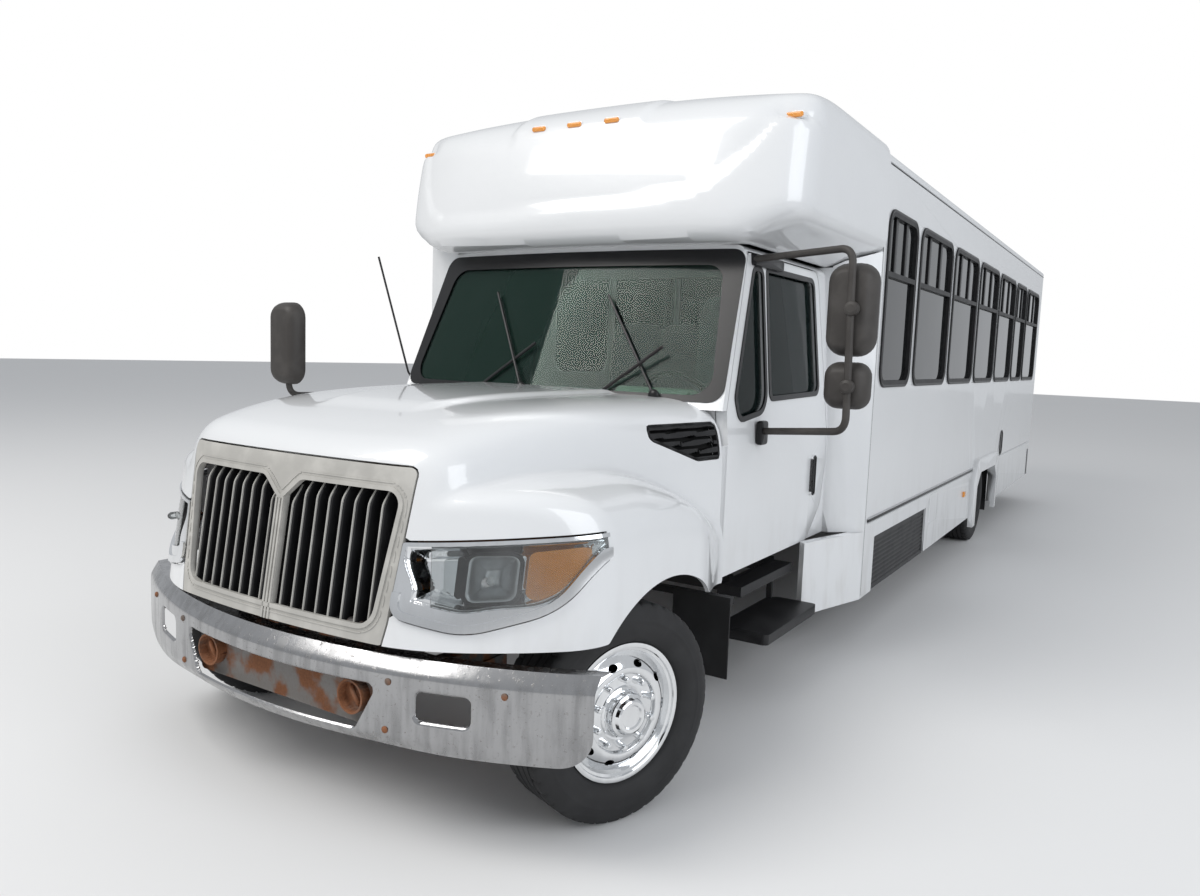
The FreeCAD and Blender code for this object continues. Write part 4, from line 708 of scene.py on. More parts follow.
def front_only(gap, p, limit):
    """An outline seen from the front acts only ahead of a limit."""
    return np.where(p[:, 1] < limit, gap, 1.0)


def off_openings(p):
    """Positive outside the openings for grille, lamps and side outlets."""
    gap = np.minimum(front_only(front_gap(p, GRILLE), p, -0.5), front_only(pair_gap(p, LAMP), p, LAMP_BACK))
    return np.minimum(gap, np.where(np.abs(p[:, 0]) > OUTLET_X, side_gap(p, LOUVRE), 1.0))


SKIN = hood_skin()
hood = shell(trim(SKIN, hood_edge), lambda p: off_openings(p) - 0.003, 0.016)
piece("hood_skin", hood, white, "hood_body", ("hood",), 38)

# Side outlets: level slats over a near-black sheet, painted shade in the recess behind them
inside_louvre = trim(SKIN, lambda p: np.where(np.abs(p[:, 0]) > OUTLET_X, -side_gap(p, LOUVRE), -1.0))
slats = [shell(inside_louvre, lambda p: 0.0125 - np.abs(p[:, 2] - z), 0.034)
         for z in 1.290 + 0.0385 * np.arange(5)]
slats.append(shell(inside_louvre, lambda p: 0.010 + side_gap(p, LOUVRE), 0.03))
piece("louvre_slats", joined(slats), black, "hood_body", ("hood_louvres",))
# The near-black sheet behind the slats is painted shade
piece("louvre_painted_shade", thick(inside_louvre, 0.004, -0.042), black_and_painted_shade, "hood_body")

# Grille surround: wide flat rim, raised lip round the opening, centre bar
FRONT_SKIN = surface(face_of_nose(np.linspace(-0.63, 0.63, 190)[None], np.linspace(0.735, 1.36, 96)[:, None]))
in_grille = trim(FRONT_SKIN, lambda p: -front_gap(p, GRILLE) - 0.004)


def band_of_rim(half, out, wall, rise):
    """A band that runs round the opening, its middle line a distance out from the edge."""
    return shell(in_grille, lambda p: half - np.abs(front_gap(p, GRILLE_HOLE) - out), wall, rise)


rim = [shell(in_grille, lambda p: np.maximum(front_gap(p, GRILLE_HOLE), 0.024 - np.abs(p[:, 0])),
             0.022, 0.001),
       band_of_rim(0.008, 0.005, 0.020, 0.006), band_of_rim(0.0025, 0.026, 0.006, 0.0035)]
rim += [shell(in_grille, lambda p: np.minimum(0.0045 - np.abs(p[:, 0] - c), 1.19 - p[:, 2]), 0.012, 0.006)
        for c in (-0.017, 0.0, 0.017)]
piece("grille_rim", joined(rim), satin_grey, "hood_body", ("grille_surround",))


def fins(width, front, depth, top_bow):
    """Upright fins between the lip's edges, bent rearwards at their tops."""
    out = []
    for side in (-1, 1):
        for i in range(8):
            x = side * (0.058 + 0.0605 * i)
            high = 1.268 if abs(x) > 0.1 else 1.268 - (0.1 - abs(x)) * 0.9
            z = np.linspace(0.795, high, 40)
            shift = front + top_bow * ramp(z, high - 0.07, high + 0.01)
            middle = face_of_nose(x + 0 * z, z)
            edge = panel(-width / 2, width / 2, 0, depth, width * 0.4, 3)
            rings = middle[:, None] + lifted(edge, 0, "z")[None]
            rings[:, :, 1] += shift[:, None]
            out.append(surface(rings, False, True))
    return joined(out)


piece("grille_fins", fins(0.016, 0.012, 0.062, 0.035), black, "hood_body", ("grille_bars",))
piece("grille_fin_edges", fins(0.0055, 0.006, 0.012, 0.035), satin_grey, "hood_body")
# A near-black sheet behind the grille fins, standing in for the shade there: painted shade
x, z = np.linspace(-0.60, 0.60, 50)[None], np.linspace(0.76, 1.33, 24)[:, None]
screen = shell(surface(face_of_nose(x, z, 0.085)), lambda p: -front_gap(p, GRILLE) - 0.012, 0.003)
piece("grille_painted_shade", screen, black_and_painted_shade, "hood_body")


# Headlamps
def lamp_skin():
    """Rays from a point inside the left fender across the headlamp's field."""
    sweep = np.radians(np.linspace(-3, 70, 200))[None]
    lift = np.radians(np.linspace(-17, 17, 90))[:, None]
    direction = grid_points(np.sin(sweep) * np.cos(lift), -np.cos(sweep) * np.cos(lift), np.sin(lift))
    return surface(cast(np.array([0.50, 0.12, 0.96]), direction, hood_inside, 1.6))


def sunk(shape, depth):
    """A welded surface whose points go back along their normals by depth(points)."""
    shape = welded(shape)
    return Shape(shape.points - point_normals(shape) * depth(shape.points)[:, None], shape.faces)


def lamp_band(p):
    """Width of the chrome frame: slim along the top, wide at the foot and towards the grille."""
    return 0.017 + 0.052 * ramp(1.05 - p[:, 2], 0, 0.12) * ramp(1.17 - p[:, 0], 0.05, 0.34)


def lamp_foot(p):
    """Positive below a line that climbs outwards along the lamp's foot."""
    return 0.93 + 0.17 * ramp(p[:, 0], 0.8, 1.2) - p[:, 2]


def off_band(p):
    """Positive in the lamp's window, inside the chrome frame."""
    return -front_gap(p, LAMP) - lamp_band(p)


in_lamp = trim(lamp_skin(), lambda p: np.where(p[:, 1] < LAMP_BACK, -pair_gap(p, LAMP) - 0.0035, -1.0))
bezel = shell(in_lamp, lambda p: -off_band(p), 0.02, 0.006)
strip = shell(in_lamp, lambda p: np.minimum(0.030 + front_gap(p, LAMP), lamp_foot(p)), 0.02, 0.014)
window = trim(in_lamp, off_band)
cover = shell(window, lambda p: p[:, 0] - 0.690 - 0.10 * (1.05 - p[:, 2]), 0.004, -0.001)
bowl = thick(sunk(window, lambda p: 0.002 + 0.075 * ramp(off_band(p), 0, 0.05)), 0.003)
piece("lamp_bezel", bezel.both(), chrome, "hood_body")
piece("lamp_strip", strip.both(), chrome, "hood_body")
piece("lamp_cover", cover.both(), lens_clear, "hood_body", ("headlamps",))
piece("lamp_bowl", bowl.both(), chrome, "hood_body")

MAIN = rounded([(0.800, 0.905), (0.800, 1.065), (0.945, 1.070), (0.945, 0.915)], 0.03)
CORNER = rounded([(0.965, 0.900, 0.03), (0.965, 1.078), (1.125, 1.098, 0.02), (1.070, 0.955, 0.06)], 0.02)
DIVIDER = rounded([(0.770, 0.93), (0.770, 1.06), (0.792, 1.06), (0.792, 0.91)], 0.008)
FIELD_SINK = 0.014
mirror_bowl = sunk(trim(in_lamp, lambda p: -front_gap(p, MAIN)),
                   lambda p: 0.022 + 0.050 * ramp(-front_gap(p, MAIN), 0, 0.06))
piece("lamp_reflector", thick(mirror_bowl, 0.003).both(), silver, "hood_body")
dividers = shell(in_lamp, lambda p: 0.006 - np.abs(front_gap(p, MAIN) - 0.004), 0.05, -0.012)
dividers += shell(in_lamp, lambda p: -front_gap(p, DIVIDER), 0.03, -FIELD_SINK)
piece("lamp_dividers", dividers.both(), black, "hood_body")
corner = shell(in_lamp, lambda p: -front_gap(p, CORNER), 0.012, -FIELD_SINK)
piece("lamp_corner_amber", corner.both(), amber, "hood_body")
BULB = [(0.0, 0.0), (0.0, 0.016), (0.03, 0.016), (0.04, 0.010), (0.045, 0.0)]
bulbs = turned(BULB, (0.872, -0.580, 0.985), (0, -1, 0), 20)
piece("lamp_bulbs", bulbs.both(), lens_clear, "hood_body")


# Bumper
OPENING = rounded([(-0.525, 0.600), (-0.440, 0.435), (0.440, 0.435), (0.525, 0.600)], 0.022)
SIDE_SLOT = panel(0.670, 0.860, 0.500, 0.600, 0.024)
HALF_BUMPER, BUMPER_FOOT, BUMPER_TOP = 1.235, 0.39, 0.703
BUMPER = rounded([(-HALF_BUMPER, BUMPER_FOOT, 0.11), (HALF_BUMPER, BUMPER_FOOT, 0.11), (HALF_BUMPER, 0.80, 0),
                  (-HALF_BUMPER, 0.80, 0)], 0, 10)
BUMPER_BOW = 2.45
ROLLED = 0.014


def soft_ramp(v, width):
    """0 below zero and v above it, with a fold of the given width between."""
    return (v + np.sqrt(v * v + width * width)) / 2


def on_bumper(x):
    """The bumper's face in plan: an arc."""
    return -0.820 + BUMPER_BOW - np.sqrt(BUMPER_BOW ** 2 - x * x)


def bumper_gap(p):
    """Distance to the nearest of the bumper's openings."""
    return np.minimum(front_gap(p, OPENING), pair_gap(p, SIDE_SLOT))


def bumper_shell():
    """The plan arc carried up a folded section: the top leans back, the foot tucks under below the opening,
    and the metal rolls inwards round each opening by a quarter circle."""
    columns, upright, flange = 400, 66, 5
    x = np.linspace(-HALF_BUMPER, HALF_BUMPER, columns)[None]
    z = np.concatenate([np.linspace(BUMPER_FOOT, BUMPER_TOP, upright), np.full(flange, BUMPER_TOP)])[:, None]
    back = np.concatenate([np.zeros(upright), np.linspace(0.008, 0.055, flange)])[:, None]
    foot = 1 - ramp(np.abs(x), 0.45, 0.85)
    y = on_bumper(x) + back + 0.75 * soft_ramp(z - 0.652, 0.010)
    y = y + (0.25 + 0.55 * foot) * soft_ramp(0.428 - z, 0.010)
    points = grid_points(x, y, z).reshape(-1, 3)
    inwards = np.clip(ROLLED - bumper_gap(points), 0, ROLLED)
    points[:, 1] += ROLLED - np.sqrt(ROLLED ** 2 - inwards ** 2)
    sheet = Shape(points, grid_faces(upright + flange, columns))
    return shell(sheet, lambda p: np.minimum(bumper_gap(p), -front_gap(p, BUMPER)), 0.006)


piece("bumper_shell", bumper_shell(), aged_chrome, "root", ("front_bumper",))
BOLT = [(0, 0), (0, 0.013), (0.004, 0.012), (0.008, 0.007), (0.009, 0)]
bolts = [turned(BOLT, (x, on_bumper(x) + 0.002, z), (0, -1, 0), 20)
         for x, z in ((0.575, 0.622), (0.565, 0.452), (0.97, 0.622))]
piece("bumper_bolts", joined(bolts).both(), rusty)
HOOK = np.array([(-0.03, -0.700, 0.545), (-0.02, -0.735, 0.560), (0.02, -0.752, 0.535),
                 (0.028, -0.735, 0.500), (0, -0.720, 0.495)])
piece("tow_hooks", joined(tube(HOOK + (x, 0, 0), 0.009, 12, 0.03) for x in (-0.40, 0.40)), rusty)


# Cap over the windshield
SMILE = np.array([(-1.12, 2.96), (-1.07, 2.78), (-1.04, 2.66), (-0.965, 2.52), (-0.85, 2.462), (-0.47, 2.456),
                  (0.0, 2.470), (0.30, 2.488), (0.593, 2.505), (0.731, 2.538), (0.862, 2.603), (0.987, 2.711),
                  (1.089, 2.852), (1.10, 2.90)])
SMILE = np.vstack([SMILE, [(1.05, 3.3), (-1.05, 3.3)]])


def cap_inside(p):
    """Depth below the cap's skin: the smooth least of its sides, crown, front and underside."""
    x, y, z = np.moveaxis(p, -1, 0)
    a = np.abs(x)
    side = 1.219 - 0.020 * ramp(z, 2.80, 3.05) - a
    drop = 0.185 * (np.maximum(0, 1.90 - y) / 0.80) ** 3.5
    top = 3.083 - 0.042 * (a / 1.10) ** 2.5 - drop - z
    front = 1.012 + 0.050 * x * x + 0.115 * (np.maximum(0, a - 0.70) / 0.52) ** 2.4
    front = front + 0.085 * (np.maximum(0, z - 2.42) / 0.50) ** 1.5
    inner = -front_gap(p.reshape(-1, 3), SMILE).reshape(x.shape)
    front = front + 0.016 * ramp(inner, -0.012, 0.022)
    brow = ramp(z, 2.868, 2.905) * (1 - ramp(a + 0.35 * (z - 2.90), 0.375, 0.43))
    ear = ramp(a, 0.97, 1.13) * ramp(z, 2.852, 2.862) * (1 - ramp(z, 2.90, 3.02))
    front = front - 0.022 * brow + 0.045 * ear
    top = top + 0.014 * (1 - ramp(a, 0.375, 0.43)) * ramp(1.55 - y, 0, 0.25)
    low = z - (2.318 + 0.095 * ramp(a, 0.90, 1.19))
    return smooth_min(smooth_min(side, y - front, 0.11), smooth_min(top, low, 0.02), 0.085)


def cap_skin():
    """Rays square to a spine across the bus, fanned outwards past its ends."""
    reach, across, fanned = 0.88, 120, 51
    fan = np.linspace(0, math.pi / 2, fanned + 1)[1:]
    ends = np.full(fanned, reach)
    x = np.concatenate([-ends, np.linspace(-reach, reach, across), ends])[None]
    out = np.concatenate([-fan[::-1], np.zeros(across), fan])[None]
    angle = np.radians(np.linspace(0, 360, 168, endpoint=False))[:, None]
    direction = grid_points(np.sin(out), np.cos(out) * np.cos(angle), np.cos(out) * np.sin(angle))
    return surface(cast(grid_points(x, 1.95 + 0 * angle, 2.68), direction, cap_inside, 1.7), True)


def cap_edge(p):
    """Ahead of the passenger box, and clear of the cab that rises through the underside."""
    cab_side = 1.010 - 0.084 * np.clip((p[:, 2] - 1.35) / 0.95, 0, 1)
    cab = np.maximum(np.abs(p[:, 0]) - cab_side, 1.232 - p[:, 1])
    return np.minimum(2.598 - p[:, 1], np.where(p[:, 2] < 2.45, cab, 1.0))


piece("cap_skin", shell(cap_skin(), cap_edge, 0.018), white, "root", ("roof_cap",), 36)


# Wheels: a stepped lip, a domed band with hand holes, a flat ring with lugs and the hub
HUB_Z = 0.419
REAR_AXLE, REAR_HUB_X, TWIN_PITCH = 6.770, 1.040, 0.290
KINGPIN_X, KINGPIN_TO_HUB, STEERED = 0.930, 0.090, 20.5
LUGS = 10


def wheel_place(x, y, angle):
    """Moves a wheel made about the X axis, outer side towards +X, to its hub."""
    def put(shape):
        return shape.turned("Z", angle).moved(x, y, HUB_Z)
    return put


def hand_hole_gap(p, radius, count, long, wide):
    """Distance to the nearest of the oval holes spaced evenly round the axle."""
    r = np.hypot(p[:, 1], p[:, 2])
    step = 2 * math.pi / count
    off = (np.arctan2(p[:, 2], p[:, 1]) + step / 2) % step - step / 2
    return (np.hypot(off * r / long, (r - radius) / wide) - 1) * min(long, wide)


def lugs(along, radius, size):
    profile = [(0, size), (0.020, size * 0.95), (0.030, size * 0.75), (0.034, 0)]
    one = turned(profile, (along, radius, 0), count=14)
    return joined(one.turned("X", 360 / LUGS * (i + 0.5)) for i in range(LUGS))


def front_wheel():
    rim = turned([(-0.095, 0.2655), (-0.080, 0.240), (0.050, 0.236), (0.062, 0.228), (0.070, 0.231),
                  (0.083, 0.236), (0.086, 0.246), (0.094, 0.249), (0.0965, 0.258), (0.0955, 0.2655),
                  (0.086, 0.2655), (0.084, 0.250), (-0.084, 0.250), (-0.086, 0.2655), (-0.095, 0.2655)],
                  count=128)
    t = np.linspace(0, 1, 40)
    radius = 0.232 - 0.082 * t
    bulge = 0.062 + 0.040 * np.sin(math.pi * np.clip(t * 0.62, 0, 1)) ** 1.2
    disc = turned(np.stack([bulge, radius], -1), count=260)
    disc = shell(disc, lambda p: hand_hole_gap(p, 0.190, 10, 0.021, 0.0135), 0.008)
    ring = turned([(0.100, 0.152), (0.094, 0.149), (0.087, 0.146), (0.086, 0.112), (0.088, 0.104),
                   (0.086, 0.096), (0.090, 0.088), (0.118, 0.085), (0.128, 0.081), (0.132, 0.070),
                   (0.144, 0.064), (0.1475, 0.058), (0.1465, 0.046), (0.140, 0.041), (0.138, 0.0)])
    return joined([rim, disc, ring, lugs(0.086, 0.130, 0.0135)])


INNER_DRUM = [(-0.06, 0.215), (0.045, 0.215), (0.049, 0.20), (0.049, 0.0)]
TREAD = [(0.0925, 0.4185), (0.070, 0.419), (0.0645, 0.4185), (0.062, 0.410), (0.058, 0.410), (0.0555, 0.4185),
         (0.028, 0.419), (0.0255, 0.410), (0.0205, 0.410), (0.018, 0.4185)]
TYRE_WALL = [(0.084, 0.2503), (0.0845, 0.264), (0.098, 0.274), (0.107, 0.281), (0.1085, 0.286),
             (0.1135, 0.293), (0.1145, 0.297), (0.1170, 0.303), (0.1205, 0.316), (0.1222, 0.335),
             (0.1215, 0.350), (0.1228, 0.354), (0.1215, 0.358), (0.1200, 0.370), (0.1160, 0.388),
             (0.1085, 0.404), (0.1030, 0.4125), (0.0965, 0.4175)]


def tyre(shift):
    """The wall's and tread's half profile, mirrored, turned about the axle; radius falls in narrow slots
    spaced evenly round the shoulder."""
    half = TYRE_WALL + TREAD
    profile = np.array(half + [(-a, r) for a, r in reversed(half)] + half[:1])
    count = 264
    angle = np.linspace(0, 2 * math.pi, count, endpoint=False)[None]
    slot = (np.arange(count) % 6 == 0).astype(float)[None]
    across, radius = profile[:, :1], profile[:, 1:]
    outer = (radius > 0.407) & (np.abs(across) > 0.064) & (np.abs(across) < 0.106)
    depth = radius - 0.007 * slot * outer
    return surface(grid_points(across + shift, depth * np.cos(angle), depth * np.sin(angle)), False, True)


turn = math.radians(STEERED)
for side, name, angle in ((1, "left", -STEERED), (-1, "right", 180 - STEERED)):
    front, rear = name + "_front", name + "_rear"
    out = KINGPIN_X + KINGPIN_TO_HUB * math.cos(turn)
    put = wheel_place(side * out, -side * KINGPIN_TO_HUB * math.sin(turn), angle)
    piece(front + "_rim", put(front_wheel()), chrome, front, (front + "_wheel",), 28)
    piece(front + "_drum", put(turned(INNER_DRUM, count=48)), black_and_painted_shade, front)
    piece(front + "_tread", put(tyre(0)), rubber, front, (front + "_tyre",), 40)
    put = wheel_place(side * REAR_HUB_X, REAR_AXLE, 0 if side > 0 else 180)
    piece(rear + "_tread", put(tyre(0) + tyre(-TWIN_PITCH)), rubber, rear, (rear + "_tyres",), 40)
    piece(rear + "_lugs", put(lugs(-0.117, 0.150, 0.014)), silver, rear)


# Cab glass, seals and mirrors
def facing(shape, way):
    """The surface with its faces turned so that they look along a direction on the whole."""
    corners = shape.points[shape.faces[:, :3]]
    normal = np.cross(corners[:, 1] - corners[:, 0], corners[:, 2] - corners[:, 0]).sum(0)
    return shape if normal @ np.array(way, float) > 0 else Shape(shape.points, shape.faces[:, ::-1])


def screen_y(x, z):
    """The windshield leans back with height and bows back towards its sides."""
    return 0.85 + 0.4348 * (z - 1.555) + 0.088 * x * x


def door_x(z):
    """The door's outer face: upright to the belt, then leaning in with height."""
    return 1.010 - 0.0842 * np.clip((z - 1.35) / 0.95, 0, 1)


x, z = np.meshgrid(np.linspace(-1.02, 1.02, 150), np.linspace(1.50, 2.32, 70))
SCREEN = facing(surface(grid_points(x, screen_y(x, z), z)), (0, -1, 0.4))
GLASS_OUTER = rounded([(-0.990, 1.538), (0.990, 1.538), (0.940, 2.275), (-0.940, 2.275)], 0.07)
GLASS_INNER = rounded([(-0.930, 1.568), (0.930, 1.568), (0.842, 2.195), (-0.842, 2.195)], 0.09)
border = trim(trim(SCREEN, lambda p: -front_gap(p, GLASS_OUTER)), lambda p: front_gap(p, GLASS_INNER))
piece("windshield_border", thick(border, 0.004, 0.005), seal_black)
blades = []
for low, high in (((-0.10, 1.56), (-0.45, 2.06)), ((0.66, 1.56), (0.28, 2.04))):
    path = [(x, screen_y(x, z) - 0.022, z) for x, z in (low, high)]
    blades += [tube(path, 0.007, 8), ball(path[0], (0.03, 0.02, 0.03))]
piece("wiper_blades", joined(blades), seal_black)

y, z = np.meshgrid(np.linspace(0.94, 2.44, 170), np.linspace(0.70, 2.30, 180))
DOOR_FACE = facing(surface(grid_points(door_x(z), y, z)), (1, 0, 0))
DOOR = rounded([(0.965, 0.717, 0), (0.965, 1.50, 0), (1.268, 2.262, 0.04), (2.290, 2.262, 0.09),
                (2.402, 1.165, 0), (2.345, 0.900, 0.15), (2.130, 0.717, 0.06)])
MAIN_PANE = rounded([(1.496, 1.545, 0.04), (1.496, 2.205, 0.03), (2.212, 2.205, 0.05), (2.250, 1.560, 0.06)])
VENT_PANE = rounded([(1.062, 1.560, 0.06), (1.330, 2.195, 0.05), (1.446, 2.195, 0.04), (1.446, 1.490, 0.12),
                     (1.100, 1.452, 0.06)])


def on_door(outline, low, high, wall, rise):
    """A ring of the door's face between two distances from an outline."""
    def keep(p):
        gap = side_gap(p, outline)
        return np.minimum(gap - low, high - gap)

    return shell(DOOR_FACE, keep, wall, rise)


seals = on_door(MAIN_PANE, -0.016, 0.012, 0.010, 0.007) + on_door(VENT_PANE, -0.014, 0.012, 0.010, 0.007)
piece("door_pane_seals", seals, seal_black, "driver_door_body")
piece("door_edge_seal", on_door(DOOR, 0.0004, 0.0036, 0.02, -0.002), black_and_painted_shade, "driver_door_body")
PULL = panel(2.138, 2.182, 0.975, 1.208, 0.0215)
PULL_RIM = [(0, 1.010), (0, 1.029), (0.003, 1.033), (0.008, 1.033), (0.010, 1.030), (0.011, 1.010)]
flap = slab(drawn_in(PULL, 0.013), 1.012, 1.0285, "x")
piece("door_pull", moulding(PULL, PULL_RIM, "x") + flap, seal_black, "driver_door_body")
catch = slab(panel(1.30, 1.68, 2.205, 2.262, 0.012), 0.925, 0.962, "x", 0.006)
piece("mirror_upper_bracket", catch, seal_black, "driver_door_body")


def mirror_shell(outline, front, rear):
    """A housing that bulges towards the front: rings of its outline drawn in along a quarter of an oval."""
    rings = [lifted(drawn_in(outline, 0.008), rear, "y"), lifted(outline, rear - 0.010, "y")]
    brim = rear - 0.02
    for t in np.radians([0, 14, 30, 46, 62, 76, 86]):
        ring = drawn_in(outline, 0.055 * (1 - math.cos(t)))
        rings.append(lifted(ring, brim - (brim - front) * math.sin(t), "y"))
    return capped(rings)


heads = mirror_shell(panel(1.363, 1.589, 1.775, 2.195, 0.085), 1.135, 1.252)
heads += mirror_shell(panel(1.370, 1.580, 1.535, 1.750, 0.065), 1.135, 1.244)
arm = tube([(0.940, 1.320, 2.235), (1.492, 1.118, 2.252), (1.510, 1.112, 1.440), (1.015, 1.330, 1.392)],
           0.017, 20, 0.07)
CLAMP = [(-0.02, 0.0), (-0.02, 0.030), (0.006, 0.034), (0.020, 0.030), (0.026, 0.018), (0.024, 0.0)]
clamps = [turned(CLAMP, (1.505, 1.112, z), (0, -1, 0), 28) for z in (1.985, 1.640)]
foot = slab(panel(1.285, 1.375, 1.325, 1.445, 0.02), 1.0115, 1.046, "x", 0.01)
glass = slab(panel(1.385, 1.567, 1.80, 2.17, 0.06), 1.2525, 1.2545, "y")
glass += slab(panel(1.39, 1.56, 1.555, 1.73, 0.05), 1.2445, 1.2465, "y")
piece("left_mirror_heads", heads, mirror_grey, "driver_door_body", ("left_mirror",), 40)
piece("left_mirror_arm", joined([arm] + clamps), mirror_grey, "driver_door_body")
piece("left_mirror_foot", foot, seal_black, "driver_door_body")
piece("left_mirror_glass", glass, chrome, "driver_door_body")
head = mirror_shell(panel(-1.589, -1.363, 1.512, 1.968, 0.085), 0.425, 0.520)
arm = tube([(-0.990, 1.010, 1.450), (-1.330, 0.985, 1.450), (-1.476, 0.500, 1.450), (-1.476, 0.480, 1.60)],
           0.017, 20, 0.06)
glass = slab(panel(-1.567, -1.385, 1.54, 1.94, 0.06), 0.5205, 0.5225, "y")
piece("right_mirror_head", head + arm, mirror_grey, "root", ("right_mirror",), 40)
piece("right_mirror_glass", glass, chrome)
PLUG = [(-0.003, 0.011), (0.002, 0.011), (0.0035, 0.008), (0.0035, 0.0)]
plugs = [turned(PLUG, (door_x(z), y, z), count=16) for y, z in ((2.426, 2.0), (2.442, 1.667), (2.455, 1.21))]
piece("cab_plugs", joined(plugs), seal_black)


# Passenger body trim
WALL_X = 1.2185
STRIP = 0.002
RAILS = ((WALL_X, 1.2290, 2.64, 6.12, 0.764, 0.772, STRIP), (WALL_X, 1.2290, 2.64, 6.12, 0.790, 0.798, STRIP),
         (WALL_X, 1.2245, 7.28, 10.10, 0.793, 0.799, STRIP),
         (1.2100, 1.2230, 2.60, 10.195, 2.925, 2.932, STRIP))
INSERTS = ((WALL_X, 1.2260, 2.64, 6.12, 0.772, 0.790, STRIP),
           (1.2175, 1.2197, 2.598, 2.602, 0.32, 2.90, 0.0005),
           (1.2150, 1.2215, 10.03, 10.12, 0.37, 0.70, STRIP),
           (1.2100, 1.2205, 2.60, 10.195, 2.919, 2.925, STRIP))
piece("side_rails", joined(box(*row) for row in RAILS).both(), silver)
piece("side_inserts", joined(box(*row) for row in INSERTS).both(), seal_black)
OVAL = panel(7.670, 7.830, 0.800, 1.070, 0.079)
OVAL_RIM = [(0, 1.217), (0, 1.2235), (0.004, 1.2255), (0.011, 1.2255), (0.013, 1.222), (0.013, 1.217)]
flap = slab(drawn_in(OVAL, 0.012), 1.217, 1.2205, "x")
piece("side_oval", moulding(OVAL, OVAL_RIM, "x") + flap, seal_black)
marker = slab(panel(5.735, 5.805, 0.565, 0.615, 0.008), 1.216, 1.238, "x", 0.006)
piece("side_marker", marker.both(), amber)

WINDOWS = ((2.670, 3.410), (3.500, 4.550), (4.640, 5.670), (5.760, 6.780), (6.870, 7.900), (7.990, 8.780),
           (8.860, 9.910))
BEAD = [(0.001, 1.224), (0.003, 1.2295), (0.010, 1.231), (0.016, 1.2285), (0.018, 1.224)]
bars, beads = [], []
for y0, y1 in WINDOWS:
    for part in (0.30, 0.64):
        y = y0 + (y1 - y0) * part
        bars.append(box(1.198, 1.216, y - 0.026, y + 0.026, 2.292, 2.642, 0.003))
    beads.append(moulding(panel(y0, y1, 1.600, 2.680, 0.12), BEAD, "x"))
piece("window_bars", joined(bars).both(), seal_black)
piece("window_beads", joined(beads).both(), seal_black, sharp=40)


# Small lamps
def pod(x, y, z, high=0.036, wide=0.096):
    """A clearance lamp: pale base and amber lens."""
    outline = panel(x - wide / 2, x + wide / 2, z - high / 2, z + high / 2, high * 0.45)
    lens = slab(drawn_in(outline, 0.005), y - 0.004, y + 0.05, "y", 0.006)
    return slab(outline, y + 0.006, y + 0.05, "y"), lens


bases, lenses = [], []
for x, z in ((1.135, 2.886), (-1.135, 2.886), (0.226, 2.918), (0.0, 2.918), (-0.226, 2.918)):
    along = grid_points(x, np.linspace(0.9, 1.5, 400), z)
    y = along[np.argmax(cap_inside(along) > 0), 1] - 0.032
    base, lens = pod(x, y, z)
    bases.append(base)
    lenses.append(lens)
piece("cap_lamp_lenses", joined(lenses), amber, "root", ("lamps",))
piece("cap_lamp_bases", joined(bases), trim_white)
TAIL_Y = 10.200
ROUND = [(x, z, 0.050) for x in (1.090, -1.090) for z in (1.000, 1.130)]
ROUND += [(x, 2.860, 0.029) for x in (1.090, 0.300, 0.0, -0.300, -1.090)]


def on_tail(profile):
    """The profile, its radii in shares of each round lamp's, turned at all of them."""
    return joined(turned([(along, r * share) for along, share in profile], (x, TAIL_Y, z), (0, 1, 0), 32)
                  for x, z, r in ROUND)


piece("rear_lamp_lenses", on_tail([(0, 1), (0.008, 0.99), (0.013, 0.8), (0.015, 0)]), red)
piece("rear_lamp_rings", on_tail([(0, 1), (0, 1.12), (0.008, 1.12), (0.010, 1.06), (0.008, 1)]), seal_black)


# Seats
def pad(x0, x1, y0, y1, z0, z1, lean=0.0, power=0.30):
    """A crowned cushion: a ball with its sines and cosines raised to a low power, leaning with height."""
    t = np.linspace(-math.pi / 2, math.pi / 2, 15)[:, None]
    u = np.linspace(0, 2 * math.pi, 32, endpoint=False)[None]

    def squared(v):
        return np.sign(v) * np.abs(v) ** power

    level = squared(np.cos(t))
    unit = grid_points(level * squared(np.cos(u)), level * squared(np.sin(u)), squared(np.sin(t)))
    low, high = np.array([x0, y0, z0]), np.array([x1, y1, z1])
    points = unit * (high - low) / 2 + (low + high) / 2
    points[..., 1] += lean * (points[..., 2] - z0)
    return surface(points, False, True)


SEAT_ROWS, FIRST_ROW, ROW_PITCH, FLOOR_Z = 9, 2.930, 0.760, 0.951
pads, frames = [], []
for row in range(SEAT_ROWS):
    y = FIRST_ROW + ROW_PITCH * row
    for x0, x1 in ((0.252, 0.688), (0.692, 1.128)):
        pads.append(pad(x0, x1, y + 0.004, y + 0.426, 1.285, 1.385))
        pads.append(pad(x0, x1, y + 0.385, y + 0.475, 1.300, 1.988, 0.10))
    frames.append(box(0.555, 0.625, y + 0.16, y + 0.29, FLOOR_Z, 1.29, 0.01))
    frames.append(box(0.26, 1.12, y + 0.02, y + 0.41, 1.272, 1.290, 0.006))
driver = [pad(0.252, 0.708, 1.627, 2.103, 1.315, 1.490), pad(0.262, 0.698, 2.055, 2.170, 1.430, 2.115, 0.12)]
seat = piece("seat_pads", joined([joined(pads).both()] + driver), seat_cloth, "root", ("seats",), 50)
pedestal = box(0.345, 0.615, 1.700, 2.030, FLOOR_Z, 1.325, 0.03)
piece("seat_frames", joined(frames).both() + pedestal, black)

